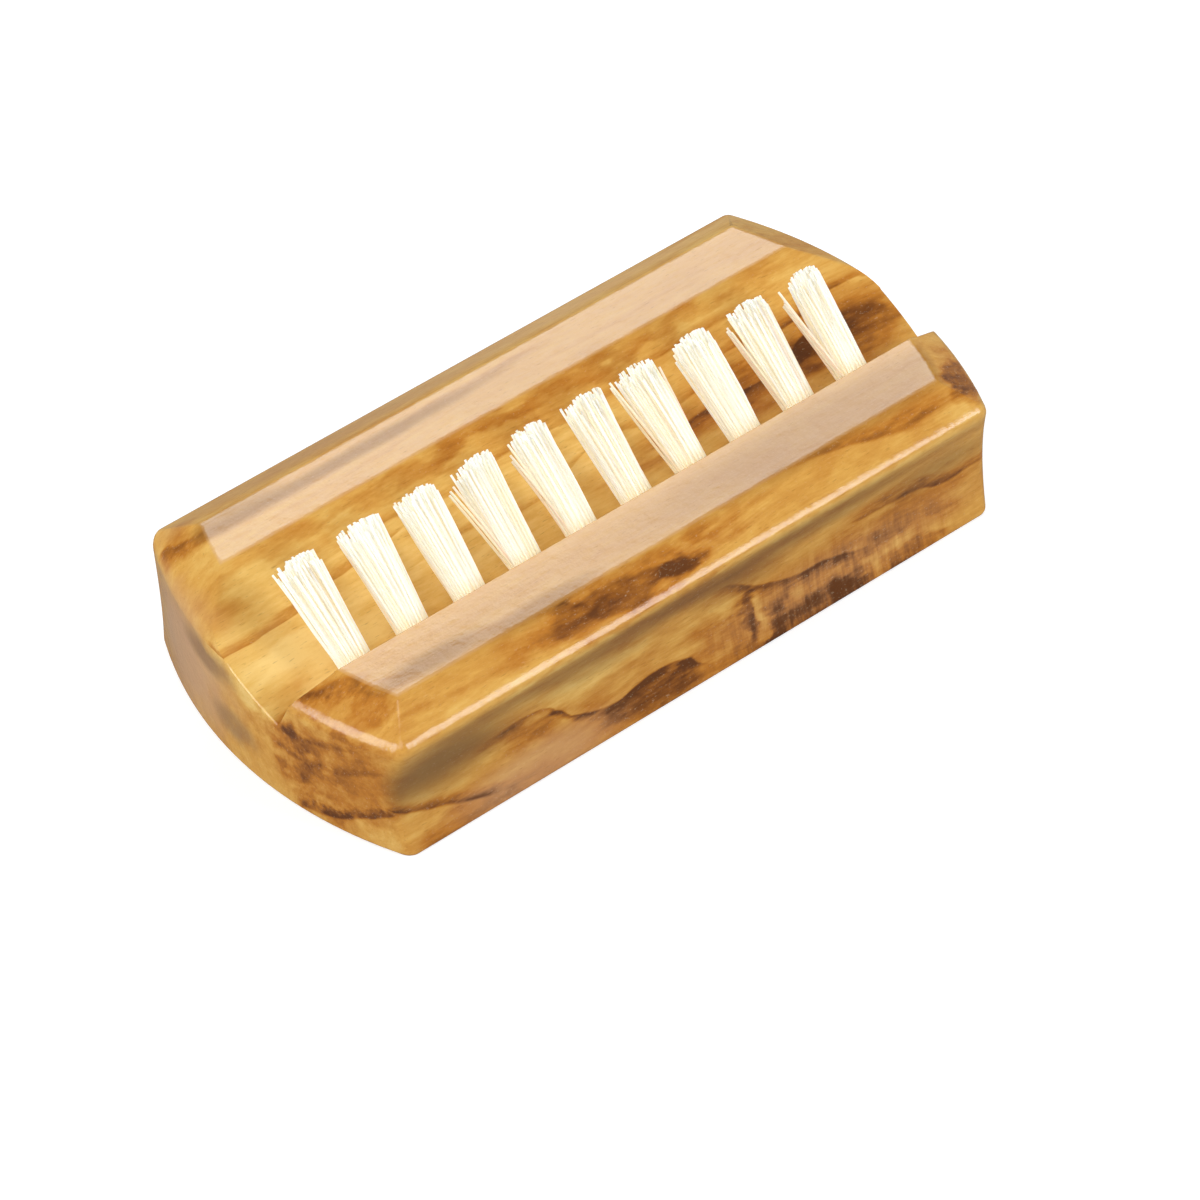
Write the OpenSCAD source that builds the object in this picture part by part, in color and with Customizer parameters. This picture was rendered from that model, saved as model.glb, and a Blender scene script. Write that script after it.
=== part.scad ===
/* [Body] */
// Length of the long sides, from corner to corner
side_length = 57.5; // [53:0.5:72]
// How far each rounded end bulges out past its corners
end_bulge = 3.75; // [2.5:0.25:5.5]
// Width across the crests of the long sides
body_width = 32; // [29:0.5:38]
// Height of the two flat rails
body_height = 13; // [12:0.5:16]
// How far the long sides are hollowed at mid height
side_hollow = 1; // [0.5:0.1:1.4]

/* [Bevels and edges] */
// Width of the bevel along each long side
side_bevel = 3.6; // [2.8:0.1:4.4]
// Width of the bevel round each end
end_bevel = 3.6; // [2.8:0.1:4.4]
// How far the bevels drop below the flats
bevel_drop = 2; // [1.2:0.1:2.8]
// How far the crest is eased back from its edge, on the bevels and on the uprights
crest_ease = 0.5; // [0.2:0.1:0.9]
// Chamfer of the bottom edges
base_chamfer = 0.4; // [0.2:0.1:0.8]
// Width of the eased strip on each upright corner
corner_strip = 0.8; // [0.4:0.1:1.4]

/* [Groove] */
// Width of the near rail, from its crest to the groove
near_rail = 8.8; // [8.2:0.1:9.6]
// Width of the far rail, from its crest to the groove
far_rail = 8.3; // [7:0.1:9.5]
// Depth of the groove below the flats
groove_depth = 5.1; // [4.5:0.1:6]
// How far the steep wall leans over its height
steep_wall_run = 2.55; // [1.8:0.05:3.2]

/* [Bristle row] */
// Number of tufts in the row
tuft_count = 10; // [6:1:11]
// Distance from the left end of the body to the first tuft
left_margin = 7.2; // [6.8:0.1:9]
// Distance from the right end of the body to the last tuft
right_margin = 8.8; // [6.8:0.1:10]
// Angle of the tufts above the table
tuft_tilt = 41; // [36:1:48]
// Diameter of the drilled holes
hole_diameter = 3; // [2.8:0.1:3.5]
// Depth of the drilled holes along their axis
hole_depth = 8; // [6.5:0.25:8.75]

/* [Bristles] */
// Length of a tuft outside the wood
bristle_length = 9.3; // [7:0.1:12]
// Difference between the longest and the shortest bristle
cut_spread = 0.8; // [0:0.1:1.2]
// Number of bristle ends in one tuft
strand_count = 45; // [30:1:50]
// Thickness of one bristle
strand_thickness = 0.25; // [0.2:0.01:0.27]
// Width across the tips of a tuft
tip_width = 4.4; // [3.6:0.1:5]
// How far a bristle's tip may stray from its even place
tip_stray = 0.08; // [0:0.01:0.1]

/* [Wire anchors] */
// Thickness of the flat wire
wire_thickness = 0.4; // [0.3:0.05:0.6]
// Height of an anchor along its hole
wire_height = 1.9; // [1.5:0.1:2.4]
// How far an anchor bites into the wood on each side of its hole
anchor_bite = 0.25; // [0.15:0.05:0.4]
// Chamfer of an anchor's leading corners
anchor_chamfer = 0.3; // [0.1:0.05:0.5]
// Room for the folded bristles between an anchor and the bottom of its hole
fold_room = 1; // [0.7:0.1:1.5]

/* [Fits] */
// Gap round a tuft's root, to its hole and to its anchor
root_gap = 0.03; // [0.02:0.01:0.1]

/* [Hidden] */
$fn = 96;
// How far a cutter runs past the face that it cuts
overrun = 1;
wood_colour = "#CC9748";
bristle_colour = "#FBF5E2";
wire_colour = "#B9B4A6";

// Plan of the body: each end is an arc through two corners
half_width = body_width / 2;
half_side = side_length / 2;
body_length = side_length + 2 * end_bulge;
end_radius = (end_bulge * end_bulge + half_width * half_width) / (2 * end_bulge);
end_centre = body_length / 2 - end_radius;

// Section of the body: the hollow of a long side runs from the bottom to the crest
crest_height = body_height - bevel_drop;
hollow_radius = bulge_radius(crest_height, side_hollow);
hollow_centre = [half_width - side_hollow + hollow_radius, crest_height / 2];

// Rim and bottom lines of the groove, as [y, z]
near_rim = [near_rail - half_width, body_height];
groove_bottom = [near_rim.x + steep_wall_run, body_height - groove_depth];
far_rim = [half_width - far_rail, body_height];

// Tuft holes start half way down the steep wall
mouth = (near_rim + groove_bottom) / 2;
hole_radius = hole_diameter / 2;
mouth_skew = tuft_tilt - atan2(steep_wall_run, groove_depth);
mouth_reach = hole_radius * abs(tan(mouth_skew));
tuft_pitch = (body_length - left_margin - right_margin) / (tuft_count - 1);
anchor_width = hole_diameter + 2 * anchor_bite;
anchor_seat = fold_room - hole_depth;

// A tuft: its root ends just inside the mouth, and its strands fan out from there
strand_sides = 4;
strand_radius = strand_thickness / 2;
root_top = -mouth_reach - root_gap;
tip_reach = tip_width / 2 - strand_radius;
mouth_share = (mouth_reach - root_top) / (bristle_length - root_top);
mouth_room = hole_radius - root_gap - strand_radius - mouth_share * (tip_reach + tip_stray);
root_reach = mouth_room / (1 - mouth_share);
strand_taper_share = 0.8;
golden_angle = 180 * (3 - sqrt(5));

function two_digits(i) = str(i < 10 ? "0" : "", i);
function tuft_name(i) = str("tuft_", two_digits(i));
function anchor_name(i) = str("anchor_", two_digits(i));

// Radius of the arc that rises by bulge over a chord
function bulge_radius(chord, bulge) = (chord * chord / 4 + bulge * bulge) / (2 * bulge);

function unit(v) = v / norm(v);

// Place of a tuft along the row, counted from the left
function tuft_x(i) = left_margin - body_length / 2 + (i - 1) * tuft_pitch;

// Points of the strip that eases a crest: the first on the bevel, the second on the upright
function crest_strip(corner, bevel_width) = [
    corner + crest_ease * unit([-bevel_width, bevel_drop]),
    corner - [0, crest_ease]
];

// Outline of a long side as [y, z], from the bottom to the flat, drawn past the hollow that trims it
function side_outline() =
    let (strip = crest_strip([half_width, crest_height], side_bevel))
    [
        [half_width - base_chamfer, 0],
        [half_width + overrun, base_chamfer + overrun],
        [half_width + overrun, crest_height / 2],
        2 * strip[1] - strip[0],
        strip[0],
        [half_width - side_bevel, body_height]
    ];

function mirrored(points) = [for (k = [len(points) - 1 : -1 : 0]) [-points[k].x, points[k].y]];

// Section across the body as [y, z]
module body_section() {
    difference() {
        polygon(concat(
            side_outline(),
            [far_rim, groove_bottom, near_rim],
            mirrored(side_outline())
        ));
        for (side = [1, -1])
            translate([side * hollow_centre.x, hollow_centre.y]) circle(r = hollow_radius);
    }
}

// Half section of a round end as [radius, z], carried on below the underside and above the flats
module end_section() {
    strip = crest_strip([end_radius, crest_height], end_bevel);
    foot = [end_radius - base_chamfer, 0] - 2 * overrun * [1, 1];
    top = [end_radius - end_bevel, body_height] + 2 * overrun * [-1, bevel_drop / end_bevel];
    polygon([[0, foot.y], foot, [end_radius, base_chamfer], strip[1], strip[0], top, [0, top.y]]);
}

// What rounding the right end takes off a square block
module end_waste() {
    height = body_height + overrun * (1 + bevel_drop / end_bevel);
    difference() {
        translate([end_centre, -half_width - overrun, -overrun])
            cube([end_radius + overrun, body_width + 2 * overrun, height]);
        translate([end_centre, 0, 0]) rotate_extrude() end_section();
    }
}

// Takes a narrow hollow strip off the upright corner at the positive end of both axes
module corner_strip_cutter() {
    end_normal = unit([half_side - end_centre, half_width]);
    strip_normal = unit(end_normal + [0, 1]);
    strip_depth = corner_strip / 2 * tan(acos(strip_normal.y));
    waist_y = half_width - side_hollow;
    waist = [end_centre + sqrt(end_radius * end_radius - waist_y * waist_y), waist_y];
    strip_hollow = ([half_side, half_width] - waist) * strip_normal;
    strip_radius = bulge_radius(crest_height, strip_hollow);
    translate([half_side, half_width, crest_height / 2])
        rotate([0, 0, acos(strip_normal.x)])
            translate([strip_radius - strip_hollow - strip_depth, 0, 0])
                rotate([90, 0, 0])
                    cylinder(r = strip_radius, h = 4 * corner_strip, center = true);
}

module blank() {
    difference() {
        rotate([90, 0, 90])
            linear_extrude(height = body_length + overrun, center = true) body_section();
        end_waste();
        mirror([1, 0, 0]) end_waste();
    }
}

// Puts a child in the frame of one tuft: z runs out along the bristles from the mouth of the hole
module at_tuft(i) {
    translate([tuft_x(i), mouth.x, mouth.y]) rotate([tuft_tilt - 90, 0, 0]) children();
}

module anchor_blank() {
    translate([0, 0, anchor_seat]) rotate([90, 0, 0])
        linear_extrude(height = wire_thickness, center = true)
            polygon([
                [anchor_chamfer - anchor_width / 2, 0],
                [anchor_width / 2 - anchor_chamfer, 0],
                [anchor_width / 2, anchor_chamfer],
                [anchor_width / 2, wire_height],
                [-anchor_width / 2, wire_height],
                [-anchor_width / 2, anchor_chamfer]
            ]);
}

// Room for the anchor inside the folded root of a tuft
module anchor_room() {
    room = [anchor_width, wire_thickness + 2 * root_gap, wire_height + 2 * root_gap];
    translate([0, 0, anchor_seat + wire_height / 2]) cube(room, center = true);
}

module body() {
    color(wood_colour)
        difference() {
            blank();
            for (east = [0, 1], north = [0, 1])
                mirror([east, 0, 0]) mirror([0, north, 0]) corner_strip_cutter();
            for (i = [1 : tuft_count]) at_tuft(i) {
                translate([0, 0, -hole_depth]) cylinder(r = hole_radius, h = hole_depth + overrun);
                anchor_blank();
            }
        }
}

// One cross-section of a strand, as its corners
function strand_ring(place, radius, z) = [
    for (k = [0 : strand_sides - 1])
        let (angle = 360 * k / strand_sides)
        [place.x + radius * cos(angle), place.y + radius * sin(angle), z]
];

// Strands stand on a sunflower spiral, so that they are evenly packed and none crosses another
function spiral_place(k, reach) =
    let (r = reach * sqrt((k + 1 / 2) / strand_count))
    [r * cos(k * golden_angle), r * sin(k * golden_angle)];

function strand_points(k, luck) =
    let (stray = tip_stray * [luck[3 * k], luck[3 * k + 1]],
         tip_z = bristle_length - cut_spread * (1 + luck[3 * k + 2]) / 2)
    concat(
        strand_ring(spiral_place(k, root_reach), strand_radius, root_top - strand_thickness),
        strand_ring(spiral_place(k, tip_reach) + stray, strand_radius * strand_taper_share, tip_z)
    );

// Triangles of the strand whose first point has this number
function strand_faces(first) =
    let (n = strand_sides)
    concat(
        [for (k = [1 : n - 2]) [first, first + k, first + k + 1]],
        [for (k = [1 : n - 2]) [first + n, first + n + k + 1, first + n + k]],
        [for (k = [0 : n - 1]) [first + k, first + n + k, first + n + (k + 1) % n]],
        [for (k = [0 : n - 1]) [first + k, first + n + (k + 1) % n, first + (k + 1) % n]]
    );

module strands(seed) {
    luck = rands(-1, 1, 3 * strand_count, seed);
    polyhedron(
        points = [for (k = [0 : strand_count - 1]) each strand_points(k, luck)],
        faces = [for (k = [0 : strand_count - 1]) each strand_faces(2 * strand_sides * k)]
    );
}

// A bundle of bristles, folded over its anchor at the bottom of its hole
module tuft(i) {
    root_length = hole_depth + root_top - root_gap;
    color(bristle_colour)
        at_tuft(i) difference() {
            union() {
                translate([0, 0, root_top - root_length])
                    cylinder(r = hole_radius - root_gap, h = root_length);
                strands(i);
            }
            anchor_room();
        }
}

// A flat wire anchor, driven into the hole across the fold of its tuft
module anchor(i) {
    color(wire_colour) at_tuft(i) anchor_blank();
}

body();
for (i = [1 : tuft_count]) {
    tuft(i);
    anchor(i);
}
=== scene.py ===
"""The looks of a small nail brush: a block of oiled olive wood with a row of bristle tufts.

Lengths are in millimetres, in the part's own frame, until a mesh is finished. +X runs to the right along the
block, -Y is the near long side and +Z is up.
"""

import logging
import math
import random
from dataclasses import dataclass
from enum import Enum, IntEnum
from typing import Any, Iterable, Sequence

import bmesh
import bpy
from mathutils import Matrix, Vector


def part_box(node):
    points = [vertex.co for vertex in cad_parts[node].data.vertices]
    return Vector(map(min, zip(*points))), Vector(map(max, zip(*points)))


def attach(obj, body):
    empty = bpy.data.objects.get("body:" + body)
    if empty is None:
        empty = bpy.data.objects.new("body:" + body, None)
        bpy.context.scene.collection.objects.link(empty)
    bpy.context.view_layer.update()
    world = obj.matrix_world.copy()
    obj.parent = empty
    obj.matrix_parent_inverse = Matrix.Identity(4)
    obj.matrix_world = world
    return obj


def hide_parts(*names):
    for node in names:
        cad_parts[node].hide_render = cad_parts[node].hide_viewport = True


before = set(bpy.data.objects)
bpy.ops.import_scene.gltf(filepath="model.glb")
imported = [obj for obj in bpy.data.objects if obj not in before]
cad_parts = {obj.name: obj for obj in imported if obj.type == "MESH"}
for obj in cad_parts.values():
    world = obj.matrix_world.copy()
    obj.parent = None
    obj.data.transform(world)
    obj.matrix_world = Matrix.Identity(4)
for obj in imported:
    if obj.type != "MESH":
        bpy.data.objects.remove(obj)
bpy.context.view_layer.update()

MM = 0.001
SNAP = 1e-4
KIND = "kind"
LOG = logging.getLogger("nail_brush")

Colour = tuple[float, float, float, float]
Point = tuple[float, float, float]


def srgb(red: int, green: int, blue: int) -> Colour:
    """Turns a screen colour into the linear colour that a shader takes.

    Args:
        red: Red, from 0 to 255.
        green: Green, from 0 to 255.
        blue: Blue, from 0 to 255.

    Returns:
        The linear colour, with an alpha of 1.
    """
    toe_end, toe_slope, offset, gamma = 0.04045, 12.92, 0.055, 2.4

    def linear(level: int) -> float:
        """Turns one channel into light.

        Args:
            level: The channel, from 0 to 255.

        Returns:
            The light, from 0 to 1.
        """
        share = level / 255
        if share <= toe_end:
            return share / toe_slope
        return ((share + offset) / (1 + offset)) ** gamma

    return (linear(red), linear(green), linear(blue), 1.0)


@dataclass(frozen=True)
class Signal:
    """An output of a shader node. Arithmetic on it adds Math nodes."""

    graph: "Graph"
    socket: bpy.types.NodeSocket

    def __add__(self, other: "Signal | float") -> "Signal":
        """Adds a value."""
        return self.graph.maths("ADD", self, other)

    def __radd__(self, other: float) -> "Signal":
        """Is added to a number."""
        return self.graph.maths("ADD", other, self)

    def __sub__(self, other: "Signal | float") -> "Signal":
        """Takes a value off."""
        return self.graph.maths("SUBTRACT", self, other)

    def __rsub__(self, other: float) -> "Signal":
        """Is taken off a number."""
        return self.graph.maths("SUBTRACT", other, self)

    def __mul__(self, other: "Signal | float") -> "Signal":
        """Multiplies by a value."""
        return self.graph.maths("MULTIPLY", self, other)

    def __rmul__(self, other: float) -> "Signal":
        """Multiplies a number."""
        return self.graph.maths("MULTIPLY", other, self)


@dataclass(frozen=True)
class Texture:
    """Smooth noise.

    Attributes:
        scale: Waves for each millimetre along X, Y and Z.
        detail: How many finer layers it has.
        roughness: How strong the finer layers are.
    """

    scale: Point
    detail: float = 2.0
    roughness: float = 0.5


class Graph:
    """Builds the nodes of one material or world."""

    MIX_FACTOR, MIX_FIRST, MIX_SECOND, MIX_RESULT = 0, 6, 7, 2
    FULL_SWING = 4

    def __init__(self, tree: bpy.types.NodeTree) -> None:
        """Starts from an empty tree.

        Args:
            tree: The node tree to fill.
        """
        self.tree = tree
        self.splits: dict[str, tuple[Signal, Signal, Signal]] = {}
        tree.nodes.clear()

    def add(
        self,
        kind: str,
        settings: dict[str, Any],
        sockets: dict[str | int, Any],
        out: str | int = 0,
    ) -> Signal:
        """Adds a node of any kind.

        Args:
            kind: The node's type.
            settings: What is set first. The key "stops" holds a ramp's (place, colour) pairs, and "points" a
                curve's (place, height) pairs.
            sockets: What goes into the inputs, links or values, by name or number.
            out: The output to give back.

        Returns:
            The chosen output.
        """
        node = self.tree.nodes.new(kind)
        for name, value in settings.items():
            if name == "stops":
                self._set_stops(node.color_ramp, value)
            elif name == "points":
                self._set_points(node.mapping, value)
            else:
                setattr(node, name, value)
        for key, value in sockets.items():
            if isinstance(value, Signal):
                self.tree.links.new(value.socket, node.inputs[key])
            else:
                node.inputs[key].default_value = value
        return Signal(self, node.outputs[out]) if len(node.outputs) else Signal(self, None)

    @staticmethod
    def _set_stops(ramp: bpy.types.ColorRamp, stops: Sequence[tuple[float, Colour]]) -> None:
        """Sets the stops of a colour ramp, which has two to begin with.

        Args:
            ramp: The ramp.
            stops: Its (place, colour) pairs.
        """
        for place, _ in stops[2:]:
            ramp.elements.new(place)
        for element, (place, colour) in zip(ramp.elements, stops):
            element.position = place
            element.color = colour

    @staticmethod
    def _set_points(mapping: bpy.types.CurveMapping, points: Sequence[tuple[float, float]]) -> None:
        """Sets the points of a float curve, which has two to begin with.

        Args:
            mapping: The curve's mapping.
            points: Its (place, height) pairs.
        """
        curve = mapping.curves[0]
        for place, height in points[2:]:
            curve.points.new(place, height)
        for point, (place, height) in zip(curve.points, sorted(points)):
            point.location = (place, height)
        mapping.update()

    def maths(self, operation: str, first: Signal | float, second: Signal | float = 0.0) -> Signal:
        """Adds a Math node."""
        return self.add("ShaderNodeMath", {"operation": operation}, {0: first, 1: second})

    def vector(self, operation: str, first: Signal | Point, second: Signal | Point) -> Signal:
        """Adds a Vector Math node on two vectors."""
        return self.add("ShaderNodeVectorMath", {"operation": operation}, {0: first, 1: second})

    def length(self, place: Signal) -> Signal:
        """Gives the length of a vector."""
        return self.add("ShaderNodeVectorMath", {"operation": "LENGTH"}, {0: place}, "Value")

    def step(self, value: Signal, start: float, end: float) -> Signal:
        """Rises smoothly from 0 at start to 1 at end, either of which may be the larger."""
        sockets = {"Value": value, "From Min": start, "From Max": end}
        return self.add("ShaderNodeMapRange", {"interpolation_type": "SMOOTHSTEP"}, sockets)

    def noise(self, place: Signal, texture: Texture, out: str | int = 0) -> Signal:
        """Reads a texture.

        Args:
            place: Where to read it, in millimetres.
            texture: The texture.
            out: 0 for one level, or "Color" for three in a vector. They lie around a half.

        Returns:
            The level, or the three levels.
        """
        waves = self.vector("MULTIPLY", place, texture.scale)
        sockets = {"Vector": waves, "Scale": 1, "Detail": texture.detail, "Roughness": texture.roughness}
        return self.add("ShaderNodeTexNoise", {}, sockets, out)

    def warp(self, place: Signal, texture: Texture, reach: Point) -> Signal:
        """Shifts a place by noise.

        Args:
            place: The place, in millimetres.
            texture: The noise.
            reach: How far the noise moves a point each way.

        Returns:
            The shifted place.
        """
        centred = self.vector("SUBTRACT", self.noise(place, texture, "Color"), (0.5, 0.5, 0.5))
        shift = self.vector("MULTIPLY", centred, tuple(self.FULL_SWING * side for side in reach))
        return self.vector("ADD", place, shift)

    def mix(self, share: Signal | float, first: Signal | Colour, second: Signal | Colour) -> Signal:
        """Blends a second colour over a first."""
        sockets = {self.MIX_FACTOR: share, self.MIX_FIRST: first, self.MIX_SECOND: second}
        return self.add("ShaderNodeMix", {"data_type": "RGBA"}, sockets, self.MIX_RESULT)

    def split(self, place: Signal) -> tuple[Signal, Signal, Signal]:
        """Splits a vector into its three parts, with one node for each vector.

        Args:
            place: The vector.

        Returns:
            Its parts along X, Y and Z.
        """
        key = place.socket.node.name
        if key not in self.splits:
            outputs = self.add("ShaderNodeSeparateXYZ", {}, {0: place}).socket.node.outputs
            self.splits[key] = tuple(Signal(self, output) for output in outputs)
        return self.splits[key]

    def millimetres(self) -> Signal:
        """Gives the place on the object in millimetres."""
        coordinates = self.add("ShaderNodeTexCoord", {}, {}, "Object")
        return self.vector("MULTIPLY", coordinates, (1 / MM, 1 / MM, 1 / MM))

    def ray(self, kind: str) -> Signal:
        """Gives 1 where the named kind of ray arrives, and 0 elsewhere."""
        return self.add("ShaderNodeLightPath", {}, {}, kind)

    def inside(self, place: Signal, patch: "Patch", outer: float, inner: float) -> Signal:
        """Fades from 1 inside a patch to 0 outside it.

        Args:
            place: Where to read it.
            patch: The patch.
            outer: Where the fade has ended, as a share of the patch's reach.
            inner: Where it begins.

        Returns:
            How far inside the place lies.
        """
        offset = self.vector("DIVIDE", self.vector("SUBTRACT", place, patch.centre), patch.reach)
        return self.step(self.length(offset), outer, inner)

    def ramp(self, value: Signal, stops: Sequence[tuple[float, Colour]]) -> Signal:
        """Turns a value into a colour."""
        return self.add("ShaderNodeValToRGB", {"stops": stops}, {"Fac": value}, "Color")

    def bump(self, height: Signal, strength: float, distance: float) -> Signal:
        """Turns a height into a bumped normal, with its distance in millimetres."""
        sockets = {"Strength": strength, "Distance": distance * MM, "Height": height}
        return self.add("ShaderNodeBump", {}, sockets)


@dataclass(frozen=True)
class Finish:
    """The finish of a surface."""

    def make(self, name: str) -> bpy.types.Material:
        """Builds the material.

        Args:
            name: The material's name.

        Returns:
            The material.
        """
        material = bpy.data.materials.new(name)
        material.use_nodes = True
        graph = Graph(material.node_tree)
        graph.add("ShaderNodeOutputMaterial", {}, {"Surface": self.shade(graph)})
        return material

    def shade(self, graph: Graph) -> Signal:
        """Makes the surface's look.

        Args:
            graph: The material's graph.

        Returns:
            The shader.
        """
        raise NotImplementedError


class Plane(Enum):
    """The plane in which a vein winds: the axis that it runs along, then the axis across it."""

    TOP = (0, 1)
    SIDE = (0, 2)
    END = (1, 2)


class Tone(Enum):
    """The hues that lie over the wood's own colour, as screen colours: painted sheen, painted reflection and
    painted shade, and two darker hues of the wood itself.
    """

    # Painted sheen: a pale blush that stands in for the lights reflected on the rails and the far bevel.
    PAINTED_SHEEN_BLUSH = srgb(217, 169, 116)
    # Painted reflection: a lilac grey that stands in for the pale floor mirrored in the left end and the
    # near side.
    PAINTED_REFLECTION_LILAC = srgb(202, 158, 118)
    ASH = srgb(157, 108, 44)
    # Painted shade: a dark grey brown along the top of the hollow near side, under the crest.
    PAINTED_SHADE_DUSK = srgb(118, 84, 46)
    SMUDGE = srgb(142, 106, 72)


@dataclass(frozen=True)
class Patch:
    """An ellipsoid with a soft edge.

    Attributes:
        centre: Its middle.
        reach: How far it spreads from its middle along X, Y and Z.
    """

    centre: Point
    reach: Point


@dataclass(frozen=True)
class Cloud(Patch):
    """A darker or lighter patch in the wood.

    Attributes:
        depth: How much darker it is, or lighter if below 0.
    """

    depth: float


@dataclass(frozen=True)
class Haze(Patch):
    """A patch of another hue: a hue of the wood itself, or painted sheen, painted reflection or painted
    shade.

    Attributes:
        tone: Its hue.
        strength: How fully it covers the wood.
    """

    tone: Tone
    strength: float


@dataclass(frozen=True)
class Vein(Patch):
    """A winding dark streak, sharp on one side and fading on the other, that shows inside its patch.

    Attributes:
        depth: How much darker it is.
        width: How far its sharp side reaches.
        fade: How far its soft side reaches, below 0 if that is the lower side.
        plane: The plane in which it winds.
        stations: Its places along the plane's first axis, with its place on the second at each.
    """

    depth: float
    width: float
    fade: float
    plane: Plane
    stations: tuple[tuple[float, float], ...]


FAR_RAIL_FIGURE = (
    Vein((-11, 11, 13), (18, 2.2, 1), 0.34, 0.4, -1.3, Plane.TOP, (
        (-28, 12.2), (-23.2, 11), (-18.8, 10.9), (-14.2, 11), (-9.4, 11.1), (-5.7, 11.5), (-2.3, 11.5),
        (8, 11.2))),
    Vein((-2, 9.5, 13), (24, 1.8, 0.8), 0.14, 0.2, 0.7, Plane.TOP, (
        (-27, 9.6), (-20, 9.2), (-12, 9.3), (-4, 9.8), (8, 9.5), (22, 10.1))),
    Cloud((0, 14.2, 12.1), (32, 2.4, 1.4), -0.06),
    Cloud((-18, 14.2, 12.1), (12, 1.6, 1), 0.12),
    Vein((-28.2, 12, 12), (3.4, 2.8, 1.8), 0.26, 0.6, -1.8, Plane.TOP, (
        (-31, 13.8), (-29.3, 12.9), (-28, 11.9), (-26.5, 11.4), (-24, 11.2))),
    Cloud((-28.2, 12.6, 11.8), (3.2, 2, 1.4), 0.24),
)

LEFT_END_FIGURE = (
    Cloud((-30, -8.8, 5.8), (3.2, 8.6, 6.6), 0.33),
    Cloud((-31.6, -5.6, 7.8), (1.8, 3.4, 1.9), 0.1),
    Cloud((-30.2, -13, 1.2), (2.6, 3.6, 1.3), -0.1),
    Cloud((-31.2, -9.6, 4.4), (1.6, 3, 0.8), -0.14),
    Vein((-30.8, -10.6, 2.6), (3, 7.2, 3.4), 0.38, 0.4, 1.5, Plane.END, (
        (-16.5, 4.9), (-15.1, 4.3), (-13.2, 3.2), (-11.2, 2.1), (-8.6, 1.1), (-6.6, 0.6), (-3, -0.2))),
    Cloud((-31.4, -8.8, 1.6), (1.8, 4, 1.2), 0.12),
    Vein((-30.8, -9.6, 6.8), (3, 7.4, 3), 0.14, 0.6, 1.2, Plane.END, (
        (-16, 9), (-13.4, 8), (-11.5, 7), (-9.6, 6.2), (-7.4, 5.8), (-5, 5.9), (-2, 6))),
    Vein((-31.4, -7.8, 8.4), (2.4, 6, 2), 0.13, 0.5, 0.9, Plane.END, (
        (-13.6, 9.9), (-11, 9.3), (-9, 8.7), (-7, 8.2), (-4.6, 7.6), (-2, 7.2))),
    Vein((-29.4, -8.6, 12), (3.4, 3.4, 1.8), 0.32, 0.9, -1.9, Plane.TOP, (
        (-32.6, -5.4), (-31, -6.4), (-29.5, -7.6), (-28, -8.6), (-26, -9.6))),
    Cloud((-27.8, -11, 12.3), (3, 2.6, 1.2), 0.24),
    Cloud((-30.6, -11.6, 10.4), (1.6, 3.6, 0.7), 0.14),
    Cloud((-30.4, 6.6, 11.8), (2.2, 4.8, 1.2), 0.06),
    Cloud((-27, 5.6, 12), (4, 2.6, 1.2), -0.12),
)

GROOVE_FIGURE_AND_PAINTED_LIGHT = (
    Cloud((-12, 1.6, 10.4), (30, 6, 2.6), -0.2),
    Cloud((-28, -2.6, 9), (10, 4, 1.9), -0.36),
    # Painted light: this pale cloud lightens the lower groove wall between the tufts, against the shade they
    # cast there.
    Cloud((-3, -2.6, 8.7), (24, 2.2, 1.4), -0.2),
    Vein((-24, 2.4, 10.8), (12, 2.4, 1.4), 0.42, 0.05, 0.55, Plane.SIDE, (
        (-33, 10.3), (-30, 10.36), (-27.5, 10.48), (-25, 10.6), (-21, 10.8), (-17, 10.95), (-13, 11.2))),
    Vein((2, 4.6, 11.6), (23, 2, 1.2), 0.24, 0.1, 0.4, Plane.SIDE, (
        (-20, 11.5), (-14, 11.6), (-8, 11.4), (-2, 11.7), (6, 11.6), (14, 11.9), (24, 11.8))),
    Vein((2, 0.6, 10.2), (19, 2.4, 1.2), 0.22, 0.06, 0.35, Plane.SIDE, (
        (-16, 9.8), (-10, 10), (-4, 9.9), (4, 10.4), (12, 10.3), (20, 10.7))),
    Cloud((0, 6.7, 12.6), (33, 1.6, 0.7), 0.2),
    Vein((17, -0.8, 9.5), (16.5, 3.4, 1.7), 0.3, 0.12, -0.9, Plane.SIDE, (
        (-2, 9.1), (3, 9.2), (8, 9.1), (12.5, 9.7), (17, 9.6), (22, 10), (27, 10.3), (33, 9.9))),
    Cloud((19, -0.8, 9.6), (14, 3, 1.4), 0.2),
    Vein((25, 2.4, 11), (9, 2.8, 1.3), 0.3, 0.1, 0.6, Plane.SIDE, (
        (16, 10.9), (20, 11.1), (24, 10.9), (28, 11.2), (33, 10.8))),
    Cloud((28, -0.6, 10), (6, 5, 2.2), 0.34),
)

NEAR_RAIL_FIGURE = (
    Vein((-18.5, -11.4, 13), (12.5, 2.4, 0.9), 0.34, 0.5, -1.5, Plane.TOP, (
        (-29.5, -9.2), (-27.3, -9.9), (-24.7, -10.7), (-21.9, -10.8), (-19.2, -10.9), (-15.6, -11.3),
        (-11.7, -11.7), (-6, -12.6))),
    Cloud((8, -10.2, 13), (9, 1.6, 0.6), 0.12),
    Cloud((22, -10, 13), (14, 3.6, 0.6), 0.12),
)

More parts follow.
